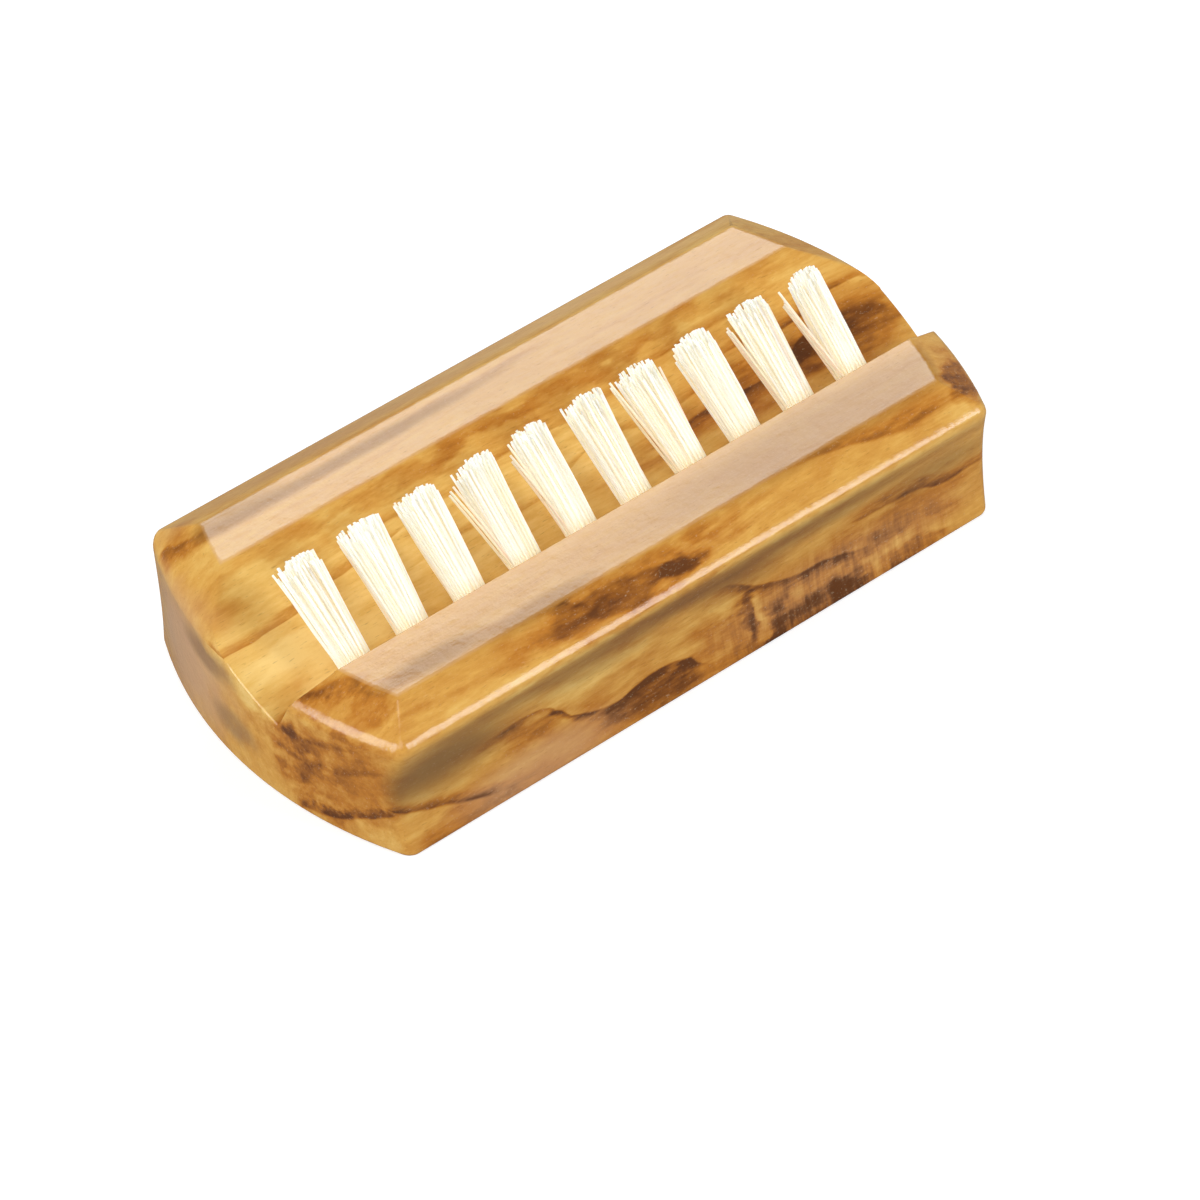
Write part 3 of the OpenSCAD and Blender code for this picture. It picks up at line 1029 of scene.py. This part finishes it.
@dataclass
class Block:
    """The wooden body, with its rounded ends, bevels, hollow sides, groove and bores.

    Attributes:
        crest_half_width: Half the width across the crests, before they are eased.
        end_bulge: How far each end bulges out past its corners.
        side_hollow: How far the long sides are hollowed at mid height.
        bevel_width: Width of the bevels.
        bevel_drop: How far the bevels drop below the rails.
        near_rail: Width of the near rail, from its crest to the groove.
        far_rail: Width of the far rail, from its crest to the groove.
        groove_depth: Depth of the groove below the rails.
        steep_wall_run: How far the steep wall leans over its height.
        hole_diameter: Diameter of the bores.
        hole_depth: Depth of the bores.
        crest_ease: Reach of the rounding along the crests.
        border_ease: Reach of the rounding between a bevel and its rail.
        foot_ease: Reach of the rounding round the underside.
        far_rim_ease: Reach of the rounding where the shallow wall meets its rail.
        near_rim_ease: Reach of the rounding where the steep wall meets its rail.
        corner_radius: Radius of the upright corners.
        mitre_ease: Reach of the rounding where two bevels meet.
        mouth_ease: Reach of the rounding where the groove leaves an end.
    """

    crest_half_width: float = 16.0
    end_bulge: float = 3.75
    side_hollow: float = 1.0
    bevel_width: float = 3.6
    bevel_drop: float = 2.0
    near_rail: float = 8.8
    far_rail: float = 8.3
    groove_depth: float = 5.1
    steep_wall_run: float = 2.55
    hole_diameter: float = 3.0
    hole_depth: float = 8.0
    crest_ease: float = 0.95
    border_ease: float = 0.36
    foot_ease: float = 0.4
    far_rim_ease: float = 0.28
    near_rim_ease: float = 0.13
    corner_radius: float = 1.2
    mitre_ease: float = 0.2
    mouth_ease: float = 0.18

    HOLLOW_STEP = 0.8
    CREST_STEPS = 6
    BORDER_STEPS = 4
    CORNER_STEPS = 6
    MIDDLE_STEPS = 27
    MIDDLE_SPREAD = 21.2
    BORE_SIDES = 40
    SPARE = 1.0

    def __post_init__(self) -> None:
        """Takes the overall sizes from the frame and works out the rest."""
        low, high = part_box("body")
        self.length = (high.x - low.x) / MM
        self.height = high.z / MM
        self.crest_height = self.height - self.bevel_drop
        bulge = self.end_bulge
        self.end_radius = (bulge**2 + self.crest_half_width**2) / (2 * bulge)
        self.end_centre = self.length / 2 - self.end_radius
        half_crest = self.crest_height / 2
        self.hollow_radius = (half_crest**2 + self.side_hollow**2) / (2 * self.side_hollow)
        self.near_rim = Vector((self.near_rail - self.crest_half_width, self.height))
        self.groove_bottom = self.near_rim + Vector((self.steep_wall_run, -self.groove_depth))
        self.far_rim = Vector((self.crest_half_width - self.far_rail, self.height))
        self.corner_centre = self.crest_half_width - self.corner_radius
        self.corner_reach = self.end_radius - self.corner_radius
        self.corner_turn = math.degrees(math.asin(self.corner_centre / self.corner_reach))

    def section(self) -> list[tuple[Vector, Face]]:
        """Lists the points of the grooved section, each with the face that starts there.

        Returns:
            The points as (y, z), counter-clockwise from the near foot. The sides are left oversize.
        """
        side = self.crest_half_width + self.SPARE
        corners = (
            (Vector((-side, 0)), Face.UNDERSIDE, 0.0),
            (Vector((side, 0)), Face.SIDE, 0.0),
            (Vector((side, self.height)), Face.RAIL, 0.0),
            (self.far_rim, Face.GROOVE, self.far_rim_ease),
            (self.groove_bottom, Face.GROOVE, 0.0),
            (self.near_rim, Face.RAIL, self.near_rim_ease),
            (Vector((-side, self.height)), Face.SIDE, 0.0),
        )
        points: list[tuple[Vector, Face]] = []
        for index, (corner, kind, ease) in enumerate(corners):
            if not ease:
                points.append((corner, kind))
                continue
            before, after = corners[index - 1][0], corners[index + 1][0]
            centre, radius, first, last = rounding(before, corner, after, ease)
            for step in range(self.BORDER_STEPS + 1):
                angle = first + (last - first) * step / self.BORDER_STEPS
                here = kind if step == self.BORDER_STEPS else Face.RIM
                points.append((centre + radius * bearing(angle), here))
        return points

    def bar(self) -> bmesh.types.BMesh:
        """Extrudes the grooved section into an oversize bar.

        Returns:
            The bar, with the kind of each face in a layer.
        """
        start = -self.length / 2 - self.SPARE
        bm = bmesh.new()
        kinds = bm.faces.layers.int.new(KIND)
        section = self.section()
        cap = bm.faces.new([bm.verts.new((start, point.x, point.y)) for point, _ in section])
        grown = bmesh.ops.extrude_face_region(bm, geom=[cap])["geom"]
        far_cap = [item for item in grown if isinstance(item, bmesh.types.BMVert)]
        bmesh.ops.translate(bm, vec=(self.length + 2 * self.SPARE, 0, 0), verts=far_cap)
        bmesh.ops.recalc_face_normals(bm, faces=bm.faces[:])
        middles = [
            ((point + section[(index + 1) % len(section)][0]) / 2, kind)
            for index, (point, kind) in enumerate(section)
        ]
        for face in bm.faces:
            centre = face.calc_center_median()
            flat = Vector((centre.y, centre.z))
            face[kinds] = min(middles, key=lambda entry: (entry[0] - flat).length)[1]
        return bm

    @staticmethod
    def cut(bm: bmesh.types.BMesh, point: Vector, normal: Vector, kind: Face) -> None:
        """Cuts off what lies beyond a plane and closes the solid there.

        Args:
            bm: The solid.
            point: A point on the plane.
            normal: The plane's outward normal.
            kind: What the new faces belong to.
        """
        kinds = bm.faces.layers.int[KIND]
        everything = bm.verts[:] + bm.edges[:] + bm.faces[:]
        result = bmesh.ops.bisect_plane(
            bm, geom=everything, dist=SNAP, plane_co=point, plane_no=normal, clear_outer=True
        )
        edges = [item for item in result["geom_cut"] if isinstance(item, bmesh.types.BMEdge)]
        rim = [edge for edge in edges if edge.is_boundary]
        for face in bmesh.ops.edgeloop_fill(bm, edges=rim)["faces"]:
            face[kinds] = kind

    def flanks(self) -> list[tuple[Vector, float, Face]]:
        """Lists the flat steps up the outside of the block: foot, wall, crest, bevel and border.

        Returns:
            A point of each step, as (distance out from the wall, z), its slope as an angle, and what it is.
        """
        inside = -2 * self.bevel_width
        bevel_top = (-self.bevel_width, self.height)
        corners = ((inside, 0), (0, 0), (0, self.crest_height), bevel_top, (inside, self.height))
        outline = [Vector(corner) for corner in corners]
        eases = (self.foot_ease, self.crest_ease, self.border_ease)
        counts = (self.BORDER_STEPS, self.CREST_STEPS, self.BORDER_STEPS)
        steps = [
            (outline[1], 0.0, Face.END),
            (outline[2], math.atan2(self.bevel_width, self.bevel_drop), Face.END_BEVEL),
        ]
        for index, (ease, count) in enumerate(zip(eases, counts)):
            centre, radius, first, last = rounding(*outline[index:index + 3], ease)
            for step in range(count):
                angle = first + (last - first) * (step + 0.5) / count
                steps.append((centre + radius * bearing(angle), angle, Face.EASED))
        return steps

    def turns(self) -> list[tuple[Vector, float, float]]:
        """Lists the flat steps round one right-hand quarter of the plan, from the end's middle to the side.

        Returns:
            The centre that each step turns about, the wall's distance from it, and its direction in degrees.
        """
        end = Vector((self.end_centre, 0))
        corner = end + self.corner_reach * bearing(math.radians(self.corner_turn))
        width = 2 * self.MIDDLE_SPREAD / self.MIDDLE_STEPS
        angles = [width * step for step in range(self.MIDDLE_STEPS // 2 + 1)]
        angles.append((self.MIDDLE_SPREAD + self.corner_turn) / 2)
        steps = [(end, self.end_radius, angle) for angle in angles]
        sweep = (90 - self.corner_turn) / self.CORNER_STEPS
        for step in range(self.CORNER_STEPS):
            steps.append((corner, self.corner_radius, self.corner_turn + sweep * (step + 0.5)))
        steps.append((corner, self.corner_radius, 90.0))
        return steps

    def trim_outside(self, bm: bmesh.types.BMesh) -> None:
        """Cuts the rounded ends, the corners, the sides and the bevels, as narrow flat steps.

        Args:
            bm: The bar.
        """
        for point, slope, flank in self.flanks():
            for centre, reach, angle in self.turns():
                turn = math.radians(angle)
                kind = flank
                if angle == 90 and flank in (Face.END, Face.END_BEVEL):
                    kind = Face.SIDE if flank is Face.END else Face.SIDE_BEVEL
                elif angle > self.corner_turn:
                    kind = Face.CORNER
                for end in (-1, 1):
                    for side in (-1, 1):
                        if (angle == 0 and side > 0) or (angle == 90 and end > 0):
                            continue
                        out = Vector((end * math.cos(turn), side * math.sin(turn), 0))
                        foot = Vector((end * centre.x, side * centre.y, 0))
                        place = foot + (reach + point.x) * out + Vector((0, 0, point.y))
                        self.cut(bm, place, math.cos(slope) * out + Vector((0, 0, math.sin(slope))), kind)

    def hollow_sides(self, bm: bmesh.types.BMesh) -> None:
        """Slices the long sides into rows and moves the rows in, so that the sides are hollowed.

        Args:
            bm: The trimmed block.
        """
        kinds = bm.faces.layers.int[KIND]
        sides = (Face.SIDE, Face.CORNER)
        level = self.foot_ease
        while level < self.crest_height - self.crest_ease:
            faces = [face for face in bm.faces if face[kinds] in sides]
            edges = dict.fromkeys(edge for face in faces for edge in face.edges)
            verts = dict.fromkeys(vert for face in faces for vert in face.verts)
            slice_at(bm, [*verts, *edges, *faces], level)
            level += self.HOLLOW_STEP
        half_crest = self.crest_height / 2
        corner_run = math.sqrt(self.corner_reach**2 - self.corner_centre**2)
        margin = 0.1
        beyond = self.corner_centre - margin
        for vert in bm.verts:
            if abs(vert.co.y) < beyond or vert.co.z > self.crest_height:
                continue
            sagitta = math.sqrt(self.hollow_radius**2 - (vert.co.z - half_crest) ** 2)
            depth = sagitta - self.hollow_radius + self.side_hollow
            slide = math.sqrt(self.corner_reach**2 - (self.corner_centre - depth) ** 2) - corner_run
            vert.co.y -= math.copysign(depth, vert.co.y)
            vert.co.x += math.copysign(slide, vert.co.x)

    @staticmethod
    def as_cutter(bm: bmesh.types.BMesh, name: str) -> bpy.types.Object:
        """Finishes a cutter, whose faces become the walls of bores.

        Args:
            bm: The cutter's mesh, which is used up.
            name: The cutter's name.

        Returns:
            The cutter.
        """
        kinds = bm.faces.layers.int.new(KIND)
        for face in bm.faces:
            face[kinds] = Face.BORE
        return finish_mesh(bm, name)

    def bores(self, tufts: Iterable[TuftFrame]) -> bpy.types.Object:
        """Makes the cutter for the drilled holes.

        Args:
            tufts: The tufts, each in its hole.

        Returns:
            The cutter, one rod for each hole.
        """
        bm = bmesh.new()
        rod_length = self.hole_depth + self.SPARE
        for tuft in tufts:
            place = tuft.matrix() @ Matrix.Translation((0, 0, rod_length / 2 - self.hole_depth))
            add_rod(bm, self.BORE_SIDES, self.hole_diameter / 2, rod_length, place)
        return self.as_cutter(bm, "bore_cutter")

    def anchor_slots(self, tufts: Iterable[TuftFrame]) -> bpy.types.Object:
        """Makes the cutter for the slots that the anchors press into the wood.

        Args:
            tufts: The tufts, each with its anchor.

        Returns:
            The cutter, a copy of every anchor.
        """
        bm = bmesh.new()
        merge_reach = 0.001 * MM
        for tuft in tufts:
            bm.from_mesh(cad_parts[tuft.anchor_node].data)
        bmesh.ops.remove_doubles(bm, verts=bm.verts[:], dist=merge_reach)
        bmesh.ops.scale(bm, vec=(1 / MM, 1 / MM, 1 / MM), verts=bm.verts[:])
        return self.as_cutter(bm, "slot_cutter")

    @staticmethod
    def subtract(piece: bpy.types.Object, cutters: Sequence[bpy.types.Object]) -> None:
        """Cuts solids out of a piece and drops the cutters.

        Args:
            piece: The piece to cut.
            cutters: The solids to take off.
        """
        for cutter in cutters:
            add_modifier(piece, "cut", "BOOLEAN", operation="DIFFERENCE", solver="EXACT", object=cutter)
        graph = bpy.context.evaluated_depsgraph_get()
        cut_mesh = bpy.data.meshes.new_from_object(piece.evaluated_get(graph))
        piece.modifiers.clear()
        old_mesh = piece.data
        piece.data = cut_mesh
        bpy.data.meshes.remove(old_mesh)
        cut_mesh.name = piece.name
        for cutter in cutters:
            mesh = cutter.data
            bpy.data.objects.remove(cutter)
            bpy.data.meshes.remove(mesh)

    def ease_edges(self, piece: bpy.types.Object) -> None:
        """Marks how far each remaining edge is rounded and adds the modifiers that round it.

        Args:
            piece: The block.
        """
        eases = {
            frozenset((Face.END_BEVEL, Face.SIDE_BEVEL)): self.mitre_ease,
            frozenset((Face.END, Face.GROOVE)): self.mouth_ease,
            frozenset((Face.END_BEVEL, Face.GROOVE)): self.mouth_ease,
        }
        widest = max(eases.values())
        fold_angle = math.radians(25)
        bm = bmesh.new()
        bm.from_mesh(piece.data)
        kinds = bm.faces.layers.int[KIND]
        weights = bm.edges.layers.float.new("bevel_weight_edge")
        for edge in bm.edges:
            pair = frozenset(Face(face[kinds]) for face in edge.link_faces)
            edge[weights] = eases.get(pair, 0.0) / widest
            creased = pair & {Face.GROOVE, Face.BORE, Face.RIM} and edge.calc_face_angle(0) > fold_angle
            edge.smooth = pair in eases or not creased
        for face in bm.faces:
            face.smooth = True
        bm.to_mesh(piece.data)
        bm.free()
        add_modifier(
            piece, "eased_edges", "BEVEL", limit_method="WEIGHT", offset_type="OFFSET", width=widest * MM,
            segments=3, profile=0.5, use_clamp_overlap=False, material=-1,
        )
        add_modifier(piece, "even_shading", "WEIGHTED_NORMAL", keep_sharp=True, weight=80)

    def build(self, tufts: Sequence[TuftFrame]) -> bpy.types.Object:
        """Makes the block and dresses it.

        Args:
            tufts: The tufts that the block carries.

        Returns:
            The block.
        """
        bm = self.bar()
        self.trim_outside(bm)
        self.hollow_sides(bm)
        bmesh.ops.recalc_face_normals(bm, faces=bm.faces[:])
        piece = finish_mesh(bm, "wooden_block")
        self.subtract(piece, (self.bores(tufts), self.anchor_slots(tufts)))
        self.ease_edges(piece)
        piece.data.materials.append(OliveWood().make("olive_wood"))
        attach(piece, "root")
        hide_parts("body")
        LOG.info("block: %d faces before its edges are eased", len(piece.data.polygons))
        return piece


@dataclass(frozen=True)
class Stray:
    """A few strands that stand away from their tuft.

    Attributes:
        count: How many strands.
        side: -1 for the left of the tuft and 1 for its right.
        reach: How far their tips stand from the axis of the tuft.
    """

    count: int
    side: int
    reach: float


@dataclass(frozen=True)
class TuftShape:
    """How one tuft leans and spreads.

    Attributes:
        lean: How far the tips are shifted along X.
        tip_radius: Radius of the bundle at its tips.
        slant: How much higher the right edge of the cut is than the left.
        strays: The strands that stand away from it.
    """

    lean: float
    tip_radius: float
    slant: float = 0.0
    strays: tuple[Stray, ...] = ()


@dataclass
class Strands:
    """Builds the bundle of folded bristles of one tuft.

    Attributes:
        shape: How the tuft leans and spreads.
        seed: The seed of its random numbers.
        pairs: Number of bristles, each of which has two ends.
        thickness: Thickness of a bristle.
        sides: Sides of a bristle.
        length: Length outside the wood.
        mouth_radius: Radius of the bundle at the mouth of its hole.
        wire_thickness: Thickness of the anchor.
        wire_top: Top of the anchor, measured along the hole.
        wire_bottom: Bottom of the anchor, measured along the hole.
        fold_room: Room below the anchor.
        jag: How unevenly the tips are cut.
        tip_room: How far the tips stay below the full length.
        dome: How much higher the cut is in its middle.
        wander: How far the tips wander sideways.
        bow: How far the strands bow sideways.
    """

    shape: TuftShape
    seed: int
    pairs: int = 80
    thickness: float = 0.24
    sides: int = 5
    length: float = 9.3
    mouth_radius: float = 1.4
    wire_thickness: float = 0.4
    wire_top: float = -5.1
    wire_bottom: float = -7.0
    fold_room: float = 1.0
    jag: float = 0.42
    tip_room: float = 0.55
    dome: float = 0.35
    wander: float = 0.09
    bow: float = 0.06

    TINT = "strand_tint"
    ALONG = "strand_along"
    OUTER_SHARES = (1.0, 0.72, 0.44, 0.18, 0.0)
    FOLD_STEPS = 4
    JAG_RANGE = (-1.6, 1.3)
    STRAY_REACH = (-0.25, 0.15)
    STRAY_DROP = (0.1, 0.7)
    FAN_POWER = 1.15
    PINCH_X, PINCH_Y = 0.92, 0.72
    TIP_TAPER = 0.82
    TINTS, STRAY_TINTS = (0.0, 0.92), (0.8, 1.0)

    def __post_init__(self) -> None:
        """Starts the tuft's own random numbers."""
        self.luck = random.Random(self.seed)

    def places(self) -> list[Vector]:
        """Spreads the strands evenly over half the mouth, in front of the anchor's plane.

        Returns:
            The places, as (x, y) with y above 0.
        """
        golden_angle = math.pi * (3 - math.sqrt(5))
        reach = self.mouth_radius - self.thickness / 2
        total = 2 * self.pairs
        spots = []
        for index in range(total):
            radius = reach * math.sqrt((index + 0.5) / total)
            angle = index * golden_angle
            spots.append(Vector((radius * math.cos(angle), radius * math.sin(angle))))
        spots.sort(key=lambda spot: spot.y)
        return spots[self.pairs:]

    def arm(self, spot: Vector, side: int, loose: Stray | None) -> list[Vector]:
        """Gives the points of one end of a bristle, from its tip down to the anchor.

        Args:
            spot: The strand's place in the mouth.
            side: 1 in front of the anchor's plane and -1 behind it.
            loose: The stray group that it belongs to, if any.

        Returns:
            The points, from the tip inwards.
        """
        start = Vector((spot.x, side * spot.y))
        spread = self.shape.tip_radius / self.mouth_radius
        wander = Vector((self.luck.gauss(0, self.wander), self.luck.gauss(0, self.wander)))
        tip = start * spread + wander + Vector((self.shape.lean, 0))
        cut = self.luck.gauss(0, self.jag) + self.shape.slant * start.x / self.mouth_radius / 2
        dome = self.dome * (1 - (start.length / self.mouth_radius) ** 2)
        lowest, highest = (share * self.jag for share in self.JAG_RANGE)
        height = self.length - self.tip_room + dome + max(lowest, min(highest, cut))
        if loose is not None:
            tip.x = loose.side * (loose.reach + self.luck.uniform(*self.STRAY_REACH))
            height -= self.luck.uniform(*self.STRAY_DROP)
        bow = Vector((self.luck.gauss(0, self.bow), self.luck.gauss(0, self.bow)))
        points = []
        for share in self.OUTER_SHARES:
            flat = start.lerp(tip, share**self.FAN_POWER) + bow * math.sin(math.pi * share)
            points.append(Vector((flat.x, flat.y, share * height)))
        beside = side * (self.wire_thickness / 2 + self.thickness / 2 + self.PINCH_Y * abs(spot.y))
        for deep in (self.wire_top, self.wire_bottom):
            points.append(Vector((self.PINCH_X * spot.x, beside, deep)))
        return points

    def fold(self, above: Vector, below: Vector) -> list[Vector]:
        """Gives the points of the fold under the anchor, between two arms.

        Args:
            above: The last point of the first arm.
            below: The last point of the second arm.

        Returns:
            The points between the two.
        """
        depth = (self.fold_room - self.thickness) * min(1.0, abs(above.y) / self.mouth_radius)
        middle = (above + below) / 2
        half = (above - below) / 2
        points = []
        for step in range(1, self.FOLD_STEPS):
            angle = math.pi * step / self.FOLD_STEPS
            drop = Vector((0, 0, -depth * math.sin(angle)))
            points.append(middle + half * math.cos(angle) + drop)
        return points

    def blank(self, rings: int) -> bpy.types.Mesh:
        """Makes a straight strand with its rings one unit apart, to be laid along each route.

        Args:
            rings: Number of rings.

        Returns:
            The strand's mesh.
        """
        bm = bmesh.new()
        last = rings - 1
        add_rod(bm, self.sides, self.thickness / 2, last, Matrix.Translation((0, 0, last / 2)))
        for level in range(1, last):
            slice_at(bm, bm.verts[:] + bm.edges[:] + bm.faces[:], level)
        mesh = bpy.data.meshes.new("strand_blank")
        bm.to_mesh(mesh)
        bm.free()
        return mesh

    def lay(
        self, bm: bmesh.types.BMesh, blank: bpy.types.Mesh, route: list[Vector], tints: tuple[float, float]
    ) -> None:
        """Lays one bristle along its route.

        Args:
            bm: The tuft so far.
            blank: The straight strand.
            route: The points that the bristle follows.
            tints: The tint of each of its two ends.
        """
        tint_layer = bm.verts.layers.float[self.TINT]
        along_layer = bm.verts.layers.float[self.ALONG]
        first = len(bm.verts)
        bm.from_mesh(blank)
        bm.verts.ensure_lookup_table()
        last = len(route) - 1
        axis_x = Vector((1, 0, 0))
        rings = []
        for index, point in enumerate(route):
            tangent = (route[min(index + 1, last)] - route[max(index - 1, 0)]).normalized()
            across = (axis_x - tangent * axis_x.dot(tangent)).normalized()
            rings.append((point, across, tangent.cross(across)))
        for vert in bm.verts[first:]:
            index = round(vert.co.z)
            point, across, other = rings[index]
            taper = self.TIP_TAPER if index in (0, last) else 1.0
            vert[tint_layer] = tints[0] if 2 * index <= last else tints[1]
            vert[along_layer] = max(0.0, point.z) / self.length
            vert.co = point + taper * (vert.co.x * across + vert.co.y * other)

    def build(self, place: TuftFrame) -> bpy.types.Object:
        """Makes the tuft.

        Args:
            place: Where the tuft stands.

        Returns:
            The tuft.
        """
        bm = bmesh.new()
        bm.verts.layers.float.new(self.TINT)
        bm.verts.layers.float.new(self.ALONG)
        spots = self.places()
        loose = self.pick_strays(spots)
        blank = self.blank(2 * (len(self.OUTER_SHARES) + 2) + self.FOLD_STEPS - 1)
        for index, spot in enumerate(spots):
            front = self.arm(spot, 1, loose.get((index, 1)))
            back = self.arm(spot, -1, loose.get((index, -1)))
            route = front + self.fold(front[-1], back[-1]) + back[::-1]
            ranges = (self.STRAY_TINTS if (index, side) in loose else self.TINTS for side in (1, -1))
            tints = tuple(self.luck.uniform(*span) for span in ranges)
            self.lay(bm, blank, route, tints)
        bpy.data.meshes.remove(blank)
        bmesh.ops.recalc_face_normals(bm, faces=bm.faces[:])
        for face in bm.faces:
            face.smooth = len(face.verts) == 4
        bmesh.ops.transform(bm, matrix=place.matrix(), verts=bm.verts[:])
        return finish_mesh(bm, f"bristle_{place.tuft_node}")

    def pick_strays(self, spots: Sequence[Vector]) -> dict[tuple[int, int], Stray]:
        """Picks the strands that stand away from the tuft.

        Args:
            spots: The places of the strands in the mouth.

        Returns:
            The stray group of each picked strand, by its number and side.
        """
        picked: dict[tuple[int, int], Stray] = {}
        for stray in self.shape.strays:
            order = sorted(range(len(spots)), key=lambda index: -stray.side * spots[index].x)
            for rank in range(stray.count):
                picked[(order[rank], 1 if rank % 2 else -1)] = stray
        return picked


@dataclass
class BristleRow:
    """The ten tufts and their wire anchors."""

    SHAPES = (
        TuftShape(-0.3, 1.95, 0.5),
        TuftShape(0.1, 2.05, 0.7),
        TuftShape(0.0, 1.95, 0.4),
        TuftShape(0.15, 1.9, 0.9, (Stray(3, -1, 2.5),)),
        TuftShape(0.0, 1.65, 0.2, (Stray(3, -1, 2.2),)),
        TuftShape(0.0, 1.9, 0.6),
        TuftShape(-0.3, 1.8, 0.4, (Stray(2, -1, 2.5), Stray(1, 1, 1.9))),
        TuftShape(-0.2, 1.8, 0.5),
        TuftShape(0.1, 1.75, 1.0, (Stray(4, -1, 2.2),)),
        TuftShape(0.3, 1.55, 1.6, (Stray(5, -1, 2.3),)),
    )

    FIRST_SEED = 101

    def __post_init__(self) -> None:
        """Finds the place of each tuft."""
        self.frames = [TuftFrame(number) for number in range(1, len(self.SHAPES) + 1)]

    def build(self) -> None:
        """Makes every tuft and dresses the anchors."""
        bristle = Bristle().make("bristle")
        wire = FlatWire().make("flat_wire")
        for seed, (place, shape) in enumerate(zip(self.frames, self.SHAPES), self.FIRST_SEED):
            piece = Strands(shape, seed).build(place)
            piece.data.materials.append(bristle)
            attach(piece, "root")
            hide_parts(place.tuft_node)
            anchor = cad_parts[place.anchor_node]
            anchor.data.materials.clear()
            anchor.data.materials.append(wire)
            LOG.info("%s: %d faces", piece.name, len(piece.data.polygons))


@dataclass(frozen=True)
class Softbox:
    """A rectangular lamp that faces the brush.

    Attributes:
        name: Its name.
        direction: Where it stands, seen from the brush.
        distance: How far away it stands.
        width: Its width.
        height: Its height.
        power: Its power, in watts.
        tint: Its colour.
    """

    name: str
    direction: Point
    distance: float
    width: float
    height: float
    power: float
    tint: tuple[float, float, float] = (1.0, 1.0, 1.0)

    def place(self) -> None:
        """Adds the lamp to the scene."""
        lamp = bpy.data.lights.new(self.name, "AREA")
        lamp.shape = "RECTANGLE"
        lamp.size = self.width * MM
        lamp.size_y = self.height * MM
        lamp.energy = self.power
        lamp.color = self.tint
        holder = bpy.data.objects.new(self.name, lamp)
        toward = Vector(self.direction).normalized()
        holder.location = toward * self.distance * MM
        holder.rotation_euler = toward.to_track_quat("Z", "Y").to_euler()
        bpy.context.scene.collection.objects.link(holder)


@dataclass
class Studio:
    """The floor, the lamps, the world and the camera.

    Attributes:
        camera_place: Where the camera stands.
        camera_aim: The point that it looks at.
        camera_roll: How far it is turned round its own axis, in degrees.
        lens: Its focal length.
        sensor: The width of its sensor.
        floor_side: The side of the square floor.
    """

    camera_place: Point = (-192.32, -257.79, 306.36)
    camera_aim: Point = (-4.67, -8.85, 6.5)
    camera_roll: float = -2.84
    lens: float = 169.69
    sensor: float = 36.0
    floor_side: float = 6000.0

    LAMPS = (
        Softbox("key_softbox", (-0.45, -0.30, 0.84), 800.0, 480.0, 480.0, 1.86),
        Softbox("back_softbox", (0.50, 0.61, 0.62), 700.0, 460.0, 300.0, 1.8, (0.78, 0.92, 1.0)),
        Softbox("front_softbox", (0.42, -0.75, 0.49), 700.0, 200.0, 560.0, 2.9, (0.92, 0.96, 1.0)),
        Softbox("left_softbox", (-0.88, 0.15, 0.45), 700.0, 270.0, 500.0, 2.8, (0.92, 0.96, 1.0)),
    )

    HORIZON_RISE = (0.0, 0.3)

    def add_camera(self) -> None:
        """Adds the camera at the photograph's viewing angle."""
        data = bpy.data.cameras.new("photo_camera")
        data.lens = self.lens
        data.sensor_width = self.sensor
        data.sensor_fit = "HORIZONTAL"
        data.clip_start = 10 * MM
        data.clip_end = 20.0
        camera = bpy.data.objects.new("photo_camera", data)
        place = Vector(self.camera_place)
        forward = (Vector(self.camera_aim) - place).normalized()
        level = forward.cross(Vector((0, 0, 1))).normalized()
        upright = level.cross(forward)
        roll = math.radians(self.camera_roll)
        right = level * math.cos(roll) + upright * math.sin(roll)
        up = right.cross(forward)
        turn = Matrix((right, up, -forward)).transposed()
        camera.matrix_world = Matrix.Translation(place * MM) @ turn.to_4x4()
        bpy.context.scene.collection.objects.link(camera)
        bpy.context.scene.camera = camera

    def add_floor(self) -> None:
        """Adds a plain pale floor, white to the camera where nothing shades it."""
        bm = bmesh.new()
        bmesh.ops.create_grid(bm, x_segments=1, y_segments=1, size=self.floor_side / 2)
        floor = finish_mesh(bm, "floor")
        floor.data.materials.append(PaleFloor().make("pale_floor"))

    def add_world(self) -> None:
        """Adds a soft dome: white behind the brush, and dim overhead where the wood mirrors it."""
        world = bpy.data.worlds.new("studio")
        world.use_nodes = True
        graph = Graph(world.node_tree)
        direction = graph.add("ShaderNodeTexCoord", {}, {}, "Generated")
        white, horizon, dim, dome = ((level, level, level, 1.0) for level in (1.0, 0.45, 0.15, 0.3))
        risen = graph.step(graph.split(direction)[2], *self.HORIZON_RISE)
        mirrored = graph.mix(risen, horizon, dim)
        seen_in = graph.maths("MAXIMUM", graph.ray("Is Glossy Ray"), graph.ray("Is Transmission Ray"))
        colour = graph.mix(graph.ray("Is Camera Ray"), graph.mix(seen_in, dome, mirrored), white)
        surface = graph.add("ShaderNodeBackground", {}, {"Color": colour, "Strength": 1.0})
        graph.add("ShaderNodeOutputWorld", {}, {"Surface": surface})
        bpy.context.scene.world = world

    def build(self) -> None:
        """Sets the whole studio up."""
        bpy.context.scene.view_settings.view_transform = "Standard"
        self.add_camera()
        self.add_floor()
        self.add_world()
        for lamp in self.LAMPS:
            lamp.place()
        LOG.info("studio: floor, world and %d lamps", len(self.LAMPS))


def main() -> None:
    """Builds the brush and its studio."""
    logging.basicConfig(level=logging.INFO, format="%(name)s: %(message)s")
    Studio().build()
    row = BristleRow()
    Block().build(row.frames)
    row.build()


if __name__ == "__main__":
    main()
